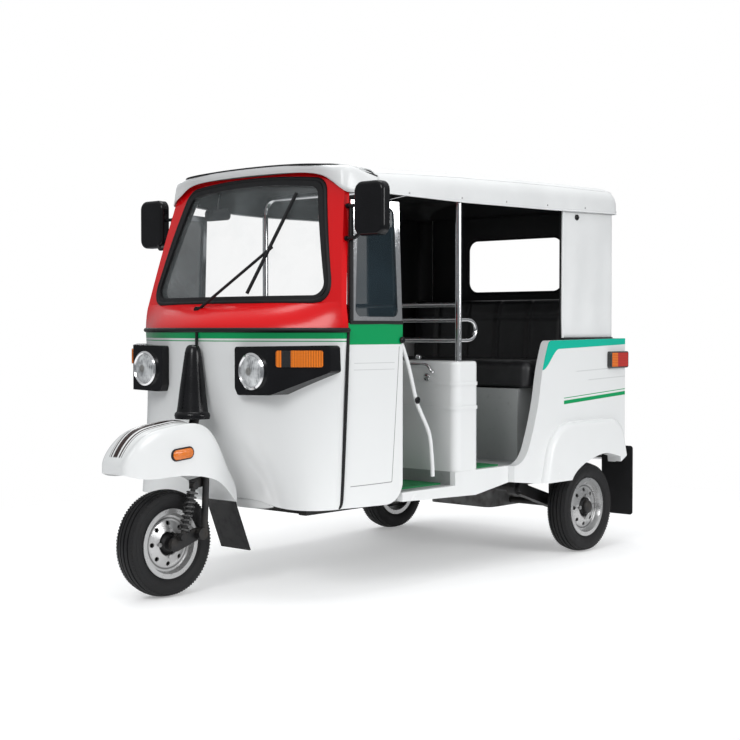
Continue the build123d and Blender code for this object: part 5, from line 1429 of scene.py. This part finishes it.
# Upper edge, shoulder and lower edge of the white visor on the cap, from the middle round the left corner
VISOR = (
    ((0, 453, 1670), (0, 454, 1657), (0, 459, 1643)),
    ((200, 453, 1667), (200, 454, 1654), (200, 460, 1640)),
    ((330, 454, 1661), (327, 456, 1648), (322, 465, 1633)),
    ((385, 464, 1657), (397, 461, 1645), (392, 472, 1618)),
    ((425, 494, 1655), (448, 473, 1641), (440, 475, 1592)),
    ((452, 520, 1652), (486, 494, 1643), (484, 475, 1563)),
    ((480, 561, 1643), (503, 530, 1636), (505, 494, 1548)),
    ((505, 600, 1630), (519, 590, 1608), (520, 560, 1550)),
    ((526, 637, 1615), (532, 637, 1590), (534, 637, 1562)),
)
VISOR_STEPS = 4
VISOR_WALL = 0.003


class RICKSHAW_OT_visor(bpy.types.Operator):
    """Hang the white visor from the cap, over the windscreen and round both pillar heads"""

    bl_idname = "rickshaw.visor"
    bl_label = "Hang the cap visor"

    def execute(self, context):
        edges = [through(spanning(placed(*edge))) for edge in zip(*VISOR)]
        columns = [through(column, VISOR_STEPS) for column in zip(*edges)]
        piece("cap_visor", walled(open_mesh(list(zip(*columns))), VISOR_WALL), "white_paint")
        return {"FINISHED"}


# Front face of the windscreen surround: heights, each with (x, station) points from the middle outwards
SCREEN_FACE = (
    (1102, ((0, 256), (180, 270), (340, 306), (461, 349), (568, 388))),
    (1126, ((0, 318), (180, 325), (340, 345), (460, 371), (564, 392))),
    (1390, ((0, 400), (180, 404), (340, 417), (430, 430), (520, 447))),
    (1640, ((0, 476), (160, 479), (290, 488), (380, 499), (478, 507))),
)
SCREEN_FOOT = (512, 1132)
SCREEN_HEAD = (384, 1596)
SCREEN_CROWN = 22
FOOT_BEND = 92
HEAD_BEND = 47
SEAL_OUT = 5
SEAL_BEAD = 0.0105
SEAL_SUNK = 2
FOOT_STEPS = 12
SIDE_STEPS = 16
BEND_STEPS = 10


def screen_station(x, z):
    """Station of the windscreen surround's front face at a place seen from the front."""
    return table_value([(level, table_value(curve, abs(x))) for level, curve in SCREEN_FACE], z)


def bent(start, corner, end):
    """Points of a round corner between two lines, without the last."""
    line = []
    for step in range(BEND_STEPS):
        t = step / BEND_STEPS
        line.append((1 - t) ** 2 * start + 2 * t * (1 - t) * corner + t**2 * end)
    return line


def screen_ring(out):
    """Points round the windscreen opening, a margin outside its edge, on the face of its surround."""
    foot = Vector((SCREEN_FOOT[0] + out, SCREEN_FOOT[1] - out))
    head = Vector((SCREEN_HEAD[0] + out, SCREEN_HEAD[1] + out))
    crown = head.y + SCREEN_CROWN
    up = (head - foot).normalized()
    foot_start = Vector((foot.x - FOOT_BEND, foot.y))
    foot_end = foot + up * FOOT_BEND
    head_start = head - up * HEAD_BEND
    head_end = Vector((head.x - HEAD_BEND, crown - SCREEN_CROWN * (1 - HEAD_BEND / head.x) ** 2))
    half = [Vector((foot_start.x * step / FOOT_STEPS, foot.y)) for step in range(FOOT_STEPS)]
    half += bent(foot_start, foot, foot_end)
    half += [foot_end.lerp(head_start, step / SIDE_STEPS) for step in range(SIDE_STEPS)]
    half += bent(head_start, head, head_end)
    for step in range(FOOT_STEPS + 1):
        x = head_end.x * (1 - step / FOOT_STEPS)
        half.append(Vector((x, crown - SCREEN_CROWN * (x / head.x) ** 2)))
    ring = placed(*((point.x, screen_station(point.x, point.y) + SEAL_SUNK, point.y) for point in half))
    return ring + mirrored(ring[-2:0:-1])


class RICKSHAW_OT_seal(bpy.types.Operator):
    """Press the rubber seal bead round the windscreen"""

    bl_idname = "rickshaw.seal"
    bl_label = "Press in the screen seal"

    def execute(self, context):
        piece("screen_seal_bead", tube_mesh(screen_ring(SEAL_OUT), SEAL_BEAD, True), "black_rubber")
        return {"FINISHED"}


LIP_HALF = 0.258
LIP_STATIONS = (405.0, 319.0)
LIP_HEIGHTS = (0.302, 0.334)
LIP_TOP = 0.3395
LIP_RAKE = 14
LIP_WALL = 0.003
LIP_ROWS = 5
LIP_COLUMNS = 41


class RICKSHAW_OT_lip(bpy.types.Operator):
    """Hang the lower lip of the nose behind the front wheel"""

    bl_idname = "rickshaw.lip"
    bl_label = "Hang the nose lip"

    def execute(self, context):
        rows = []
        for part in shares(LIP_ROWS):
            row = []
            for across in shares(LIP_COLUMNS, -1.0):
                station = LIP_STATIONS[0] + (LIP_STATIONS[1] - LIP_STATIONS[0]) * across**2
                low = LIP_HEIGHTS[0] + (LIP_HEIGHTS[1] - LIP_HEIGHTS[0]) * across**2
                z = LIP_TOP + (low - LIP_TOP) * part
                row.append((across * LIP_HALF, at(station + 1 + LIP_RAKE * part), z))
            rows.append(row)
        piece("nose_lip", walled(open_mesh(rows), LIP_WALL), "white_paint")
        return {"FINISHED"}


CONE_STATION = 152
CONE_PROFILE = (
    (0.674, 0.073), (0.688, 0.076), (0.697, 0.073), (0.702, 0.067), (0.72, 0.064), (0.80, 0.0535),
    (0.88, 0.042), (0.93, 0.0345), (0.948, 0.0305), (0.957, 0.025), (0.9612, 0.017), (0.962, 0.006),
)
CONE_RIBBED = CONE_PROFILE[4:8]
CONE_SWEEP = math.radians(105)
CONE_COLUMNS = 41
CONE_WALL = 0.003
CONE_CREASE = 40
CONE_RIB = {"Radius": 0.017, "Width": 0.005, "Height": 0.009, "Aim": (0.0, -1.0, -0.14)}


class RICKSHAW_OT_cone(bpy.types.Operator):
    """Mould the cone over the steering column, with its ribbed front strip"""

    bl_idname = "rickshaw.cone"
    bl_label = "Mould the column cone"

    def execute(self, context):
        sizes = context.scene.rickshaw_sizes
        y = at(CONE_STATION)
        angles = shares(CONE_COLUMNS, -CONE_SWEEP, CONE_SWEEP)
        rows = []
        for z, radius in CONE_PROFILE:
            rows.append([(radius * math.sin(angle), y - radius * math.cos(angle), z) for angle in angles])
        meshes = [walled(open_mesh(rows), CONE_WALL)]
        front = [(0.0, y - radius, z) for z, radius in CONE_RIBBED]
        ribs = repeat_tree("cone_ribs", "block", "cone_plastic")
        meshes.append(repeated(ribs, front, False, Count=sizes.ribs, **CONE_RIB))
        cone = group("moulded_cone", meshes, "cone_plastic", slot="black_rubber", smooth=False)
        creased(cone, CONE_CREASE)
        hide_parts("column_cone")
        return {"FINISHED"}


MARKER_TILT = math.radians(5)
MARKER_X = 0.1035
MARKER_STATION = 2
MARKER_Z = 0.552
LENS_OUTLINE = rounded_outline(0.1, 0.038, 0.0189, 10)
LENS_DEPTH = 0.0125
LENS_SOFT = 0.004
RIM_OUTLINE = rounded_outline(0.111, 0.048, 0.0239, 10)
RIM_DEPTH = 0.0078
RIM_SOFT = 0.002


def on_fender(side):
    """Placing function for a plate on one flank of the fender, tilted with it."""
    def place(x, z, depth):
        along = x * math.cos(MARKER_TILT) - z * math.sin(MARKER_TILT)
        above = x * math.sin(MARKER_TILT) + z * math.cos(MARKER_TILT)
        return Vector((side * (MARKER_X + depth), at(MARKER_STATION) + along, MARKER_Z + above))
    return place


class RICKSHAW_OT_markers(bpy.types.Operator):
    """Set the amber markers in their black rims on the fender"""

    bl_idname = "rickshaw.markers"
    bl_label = "Set the fender markers"

    def execute(self, context):
        flanks = (on_fender(1), on_fender(-1))
        lenses = [slab_mesh(LENS_OUTLINE, place, LENS_DEPTH, LENS_SOFT) for place in flanks]
        rims = [slab_mesh(RIM_OUTLINE, place, RIM_DEPTH, RIM_SOFT) for place in flanks]
        lens = group("marker_lenses", lenses, "amber_lens", "steering")
        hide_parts("fender_markers")
        group("marker_rims", rims, "black_rubber", "steering")
        return {"FINISHED"}


DAMPER_LINE = ((88, 14, 232), (88, 74, 424))
COIL_STEPS = 14
COIL_FOOT = 0.034
COIL_TALL = 0.138
COIL_RADIUS = 0.018
COIL_WIRE = 0.0036
SPRING_SEATS = (0.03, 0.174)
SEAT_PROFILE = ((-0.003, 0.02), (-0.002, 0.023), (0.002, 0.023), (0.003, 0.02))


class RICKSHAW_OT_spring(bpy.types.Operator):
    """Wind the coil spring round the front damper"""

    bl_idname = "rickshaw.spring"
    bl_label = "Wind the front spring"

    def execute(self, context):
        foot, top = placed(*DAMPER_LINE)
        along = (top - foot).normalized()
        across = Vector((1, 0, 0))
        ahead = along.cross(across)
        steps = COIL_STEPS * context.scene.rickshaw_sizes.coils
        line = []
        for step in range(steps + 1):
            angle = 2 * math.pi * step / COIL_STEPS
            rise = COIL_FOOT + COIL_TALL * step / steps
            around = across * math.cos(angle) + ahead * math.sin(angle)
            line.append(foot + along * rise + around * COIL_RADIUS)
        meshes = [tube_mesh(line, COIL_WIRE)]
        for rise in SPRING_SEATS:
            meshes.append(turned_mesh(foot + along * rise, along, SEAT_PROFILE))
        group("front_spring", meshes, "spring_steel", "steering", "dark_metal")
        return {"FINISHED"}


# Cross lines of the cap: station, half width, height of its edge and of its middle
CAP_ARCS = ((452, 0.372, 1.660, 1.673), (530, 0.470, 1.657, 1.683), (640, 0.526, 1.617, 1.687))
LINING_STATIONS = (532, 634)
LINING_DROP = 0.02
LINING_INSET = 0.02
LINING_WALL = 0.002
LINING_ROWS = 13
LINING_COLUMNS = 25
INSIDE_MIRROR = rounded_outline(0.15, 0.05, 0.018)
INSIDE_MIRROR_X = -0.247
INSIDE_MIRROR_STATION = 496
INSIDE_MIRROR_Z = 1.502
INSIDE_MIRROR_DEPTH = 0.016
INSIDE_MIRROR_SOFT = 0.004
MIRROR_STEM_RADIUS = 0.005
MIRROR_STEM = ((-247, 504, 1525), (-247, 512, 1570), (-247, 524, 1622))


class RICKSHAW_OT_cab(bpy.types.Operator):
    """Line the cap over the driver and hang the inside mirror"""

    bl_idname = "rickshaw.cab"
    bl_label = "Line the cab roof"

    def execute(self, context):
        rows = []
        for station in shares(LINING_ROWS, *LINING_STATIONS):
            half, edge, top = table_row(CAP_ARCS, station)
            row = []
            for across in shares(LINING_COLUMNS, -1.0):
                z = top - (top - edge) * across**2 - LINING_DROP
                row.append((across * (half - LINING_INSET), at(station), z))
            rows.append(row)
        piece("cap_lining", walled(open_mesh(rows), LINING_WALL), "lining", slot="black_vinyl")
        place = upright(INSIDE_MIRROR_X, at(INSIDE_MIRROR_STATION), INSIDE_MIRROR_Z)
        meshes = [slab_mesh(INSIDE_MIRROR, place, INSIDE_MIRROR_DEPTH, INSIDE_MIRROR_SOFT)]
        meshes.append(tube_mesh(placed(*MIRROR_STEM), MIRROR_STEM_RADIUS))
        group("inside_mirror", meshes, "black_plastic")
        return {"FINISHED"}


MIRROR_X = 0.633
MIRROR_STATION = 501.5
MIRROR_Z = 1.478
MIRROR_GLASS = rounded_outline(0.13, 0.186, 0.03)
MIRROR_DEPTH = 0.004
MIRROR_SOFT = 0.0012


class RICKSHAW_OT_mirrors(bpy.types.Operator):
    """Set the glass in the mirrors"""

    bl_idname = "rickshaw.mirrors"
    bl_label = "Set the mirror glass"

    def execute(self, context):
        meshes = []
        for side in (1, -1):
            place = upright(side * MIRROR_X, at(MIRROR_STATION), MIRROR_Z)
            meshes.append(slab_mesh(MIRROR_GLASS, place, MIRROR_DEPTH, MIRROR_SOFT))
        group("mirror_glass", meshes, "mirror", slot="chrome", smooth=False)
        return {"FINISHED"}


GRIP_LINE = ((248.8, 500, 1006.6), (262, 595, 1011))
GRIP_START = ((0.0, 0.0158), (0.002, 0.0178), (0.006, 0.0178), (0.009, 0.0158))
GRIP_RING = ((0.0, 0.0158), (0.002, 0.0168), (0.005, 0.0168), (0.007, 0.0158))
GRIP_END = ((0.091, 0.0162), (0.094, 0.0178), (0.0975, 0.017), (0.099, 0.012))
GRIP_RINGS = 8
GRIP_FOOT = 0.013
GRIP_PITCH = 0.0095
LEVER_LINE = ((247, 497, 1006), (234, 503, 1004), (227, 540, 1003), (232, 590, 1003))
LEVER_RADIUS = 0.0042


class RICKSHAW_OT_controls(bpy.types.Operator):
    """Fit the handlebar grips and levers"""

    bl_idname = "rickshaw.controls"
    bl_label = "Fit the controls"

    def execute(self, context):
        profile = list(GRIP_START)
        for ring in range(GRIP_RINGS):
            foot = GRIP_FOOT + ring * GRIP_PITCH
            profile += [(foot + along, radius) for along, radius in GRIP_RING]
        profile += GRIP_END
        grips = []
        for start, end in both_sides(GRIP_LINE):
            grips.append(turned_mesh(start, (end - start).normalized(), profile))
        levers = [tube_mesh(through(line), LEVER_RADIUS) for line in both_sides(LEVER_LINE)]
        group("bar_grips", grips, "black_rubber", "steering")
        group("bar_levers", levers, "chrome", "steering")
        return {"FINISHED"}


BOW_RADIUS = 0.0065
BOW_INSET = 0.985
BOW_DROP = 0.012
HANDLE_LINE = (
    (343, 1052, 876), (343, 1040, 876), (400, 1036, 877),
    (448, 1038, 874), (474, 1041, 846), (474, 1052, 845),
)
HANDLE_RADIUS = 0.0055
# Knobs on the partition: place, radius and height
PARTITION_KNOBS = (((441, 1055, 823), 0.016, 0.012), ((398, 1055, 905), 0.011, 0.018))
# Knobs on a bracket: the number of its point, radius and height
BRACKET_KNOBS = ((2, 0.014, 0.013), (0, 0.013, 0.016))
BRACKET_LINE = (
    (585, 708, 980), (580, 761, 881), (575, 816, 740), (573, 850, 685),
    (574, 900, 600), (577, 914, 500), (578, 918, 428),
)
LOOP_LINE = (
    (571, 1104, 1061), (571, 1160, 1061), (571, 1197, 1048), (571, 1211, 1019),
    (571, 1197, 990), (571, 1160, 977), (571, 1104, 977),
)
ROD_RADIUS = 0.0085


def knob_mesh(spot, axis, radius, tall):
    """Small turned knob."""
    neck = radius * 0.55
    profile = (
        (-0.003, neck), (tall * 0.35, neck),
        (tall * 0.45, radius), (tall * 0.85, radius), (tall, radius * 0.75),
    )
    return turned_mesh(spot, axis, profile, KNOB_SIDES)


class RICKSHAW_OT_fittings(bpy.types.Operator):
    """Fit the bows, the grab loops, the partition handle and the doorway brackets"""

    bl_idname = "rickshaw.fittings"
    bl_label = "Fit the small fittings"

    def execute(self, context):
        bright = []
        white = []
        dark = []
        for station in BOW_STATIONS[1:3]:
            profile = canopy_profile(*table_row(CANOPY_TABLE, station))[2:]
            left = [Vector((x * BOW_INSET, at(station), z - BOW_DROP)) for x, z in profile]
            bright.append(tube_mesh(left + mirrored(left[-2::-1]), BOW_RADIUS))
        bright.append(tube_mesh(through(placed(*HANDLE_LINE), 5), HANDLE_RADIUS))
        for spot, radius, tall in PARTITION_KNOBS:
            bright.append(knob_mesh(placed(spot)[0], (0, -1, 0), radius, tall))
        for side, bracket in zip((1, -1), both_sides(BRACKET_LINE)):
            white.append(tube_mesh(through(bracket), ROD_RADIUS))
            for number, radius, tall in BRACKET_KNOBS:
                dark.append(knob_mesh(bracket[number], (side, 0, 0), radius, tall))
        bright += [tube_mesh(through(loop), ROD_RADIUS) for loop in both_sides(LOOP_LINE)]
        group("bright_fittings", bright, "chrome")
        group("white_brackets", white, "white_paint")
        group("dark_knobs", dark, "black_plastic")
        return {"FINISHED"}


CAMERA_PLACE = (4.139, -4.545, 1.022)
CAMERA_YAW = 0.726568
CAMERA_PITCH = 0.0290312
CAMERA_LENS = 68.1
CAMERA_FAR = 200
FLOOR_REACH = 30.0
FLOOR_DEPTH_SHARE = 0.6
FLOOR_FADE = (1.3, 2.9)
SKY_LOW = (0.24, 0.25, 0.26)
SKY_HIGH = (0.56, 0.57, 0.58)
# Name, place, target, size and power of each lamp
LIGHTS = (
    ("key", (2.2, -6.0, 4.2), (0.2, -0.4, 0.7), 2.6, 128.0),
    ("fill", (6.4, 0.6, 2.6), (0.2, 0.4, 0.7), 3.2, 175.0),
    ("top", (-0.4, 0.2, 5.6), (0.0, 0.1, 0.8), 4.0, 125.0),
    ("rim", (-5.0, 3.0, 3.4), (0.0, 0.2, 0.9), 3.0, 45.0),
)


def studio_floor():
    """Flat pale floor that fades into the white surroundings a little way from the vehicle."""
    finish = Finish("studio_floor", Specular_IOR_Level=0.2, Emission_Strength=0.3)
    pale = finish.noise(1.2).rise(0.2, 0.8).mix((0.9, 0.9, 0.9), (0.92, 0.92, 0.92))
    finish.skin(pale, 0.55 + finish.noise(60.0) * 0.1)
    finish.feed("Emission Color", pale)
    away = finish.x.hypot(finish.y * math.sqrt(FLOOR_DEPTH_SHARE))
    finish.feed("Alpha", 1 - away.rise(*FLOOR_FADE))
    mesh = bpy.data.meshes.new("studio_floor")
    corners = [(x * FLOOR_REACH, y * FLOOR_REACH, 0) for x, y in ((-1, -1), (1, -1), (1, 1), (-1, 1))]
    mesh.from_pydata(corners, [], [(0, 1, 2, 3)])
    mesh.materials.append(finish.material)
    return linked("studio_floor", mesh)


def studio_world(scene):
    """White surroundings for the camera, with a soft grey-to-white sky for light and reflections."""
    world = bpy.data.worlds.new("studio")
    world.use_nodes = True
    tree = world.node_tree
    root = Shade(tree)
    background = next(node for node in tree.nodes if node.type == "BACKGROUND")
    path = root.node("ShaderNodeLightPath", out="Is Camera Ray")
    seen = path.maths("MAXIMUM", path, path.output("Is Transmission Ray"))
    way = root.node("ShaderNodeTexCoord", out="Generated")
    up = root.node("ShaderNodeSeparateXYZ", sockets={0: way}).output("Z")
    sky = up.rise(-0.1, 0.75).mix(SKY_LOW, SKY_HIGH)
    tree.links.new(seen.mix(sky, (1.0, 1.0, 1.0)).socket, background.inputs["Color"])
    scene.world = world


def aimed(thing, place, way):
    """Put a lamp or a camera in its place, looking one way."""
    thing.location = place
    thing.rotation_euler = way.to_track_quat("-Z", "Y").to_euler()


class RICKSHAW_OT_stage(bpy.types.Operator):
    """Set up the studio: floor, surroundings, lights and camera"""

    bl_idname = "rickshaw.stage"
    bl_label = "Set up the studio"

    def execute(self, context):
        scene = context.scene
        studio_floor()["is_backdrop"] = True
        studio_world(scene)
        for name, place, target, size, power in LIGHTS:
            lamp = bpy.data.lights.new(name, "AREA")
            lamp.shape = "DISK"
            lamp.size = size
            lamp.energy = power
            aimed(linked(name, lamp), place, Vector(target) - Vector(place))
        camera = bpy.data.cameras.new("camera")
        camera.lens = CAMERA_LENS
        camera.clip_end = CAMERA_FAR
        level = math.cos(CAMERA_PITCH)
        aside = -math.sin(CAMERA_YAW) * level
        ahead = math.cos(CAMERA_YAW) * level
        scene.camera = linked("camera", camera)
        aimed(scene.camera, CAMERA_PLACE, Vector((aside, ahead, -math.sin(CAMERA_PITCH))))
        scene.view_settings.view_transform = "Standard"
        return {"FINISHED"}


OPERATORS = (
    RICKSHAW_OT_finishes,
    RICKSHAW_OT_canopy,
    RICKSHAW_OT_curtains,
    RICKSHAW_OT_cushions,
    RICKSHAW_OT_wheels,
    RICKSHAW_OT_beads,
    RICKSHAW_OT_visor,
    RICKSHAW_OT_seal,
    RICKSHAW_OT_lip,
    RICKSHAW_OT_cone,
    RICKSHAW_OT_markers,
    RICKSHAW_OT_spring,
    RICKSHAW_OT_cab,
    RICKSHAW_OT_mirrors,
    RICKSHAW_OT_controls,
    RICKSHAW_OT_fittings,
    RICKSHAW_OT_stage,
)


class RICKSHAW_PT_panel(bpy.types.Panel):
    """Lists the steps and the settings in the sidebar"""

    bl_idname = "RICKSHAW_PT_panel"
    bl_label = "Auto rickshaw"
    bl_space_type = "VIEW_3D"
    bl_region_type = "UI"
    bl_category = "Rickshaw"

    def draw(self, context):
        layout = self.layout
        for operator in OPERATORS:
            layout.operator(operator.bl_idname)
        for group in (context.scene.rickshaw_colours, context.scene.rickshaw_sizes):
            box = layout.box()
            for name in group.__annotations__:
                box.prop(group, name)


CLASSES = (RickshawColours, RickshawSizes, *OPERATORS, RICKSHAW_PT_panel)


def register():
    for kind in CLASSES:
        bpy.utils.register_class(kind)
    bpy.types.Scene.rickshaw_colours = bpy.props.PointerProperty(type=RickshawColours)
    bpy.types.Scene.rickshaw_sizes = bpy.props.PointerProperty(type=RickshawSizes)


def unregister():
    del bpy.types.Scene.rickshaw_sizes
    del bpy.types.Scene.rickshaw_colours
    for kind in reversed(CLASSES):
        bpy.utils.unregister_class(kind)


def main():
    register()
    bpy.ops.rickshaw.finishes()
    bpy.ops.rickshaw.canopy()
    bpy.ops.rickshaw.curtains()
    bpy.ops.rickshaw.cushions()
    bpy.ops.rickshaw.wheels()
    bpy.ops.rickshaw.beads()
    bpy.ops.rickshaw.visor()
    bpy.ops.rickshaw.seal()
    bpy.ops.rickshaw.lip()
    bpy.ops.rickshaw.cone()
    bpy.ops.rickshaw.markers()
    bpy.ops.rickshaw.spring()
    bpy.ops.rickshaw.cab()
    bpy.ops.rickshaw.mirrors()
    bpy.ops.rickshaw.controls()
    bpy.ops.rickshaw.fittings()
    bpy.ops.rickshaw.stage()
    boxes = {"cad": CAD_BOX, "visual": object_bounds()}
    plain = {name: [[float(value) for value in corner] for corner in box] for name, box in boxes.items()}


if __name__ == "__main__":
    main()
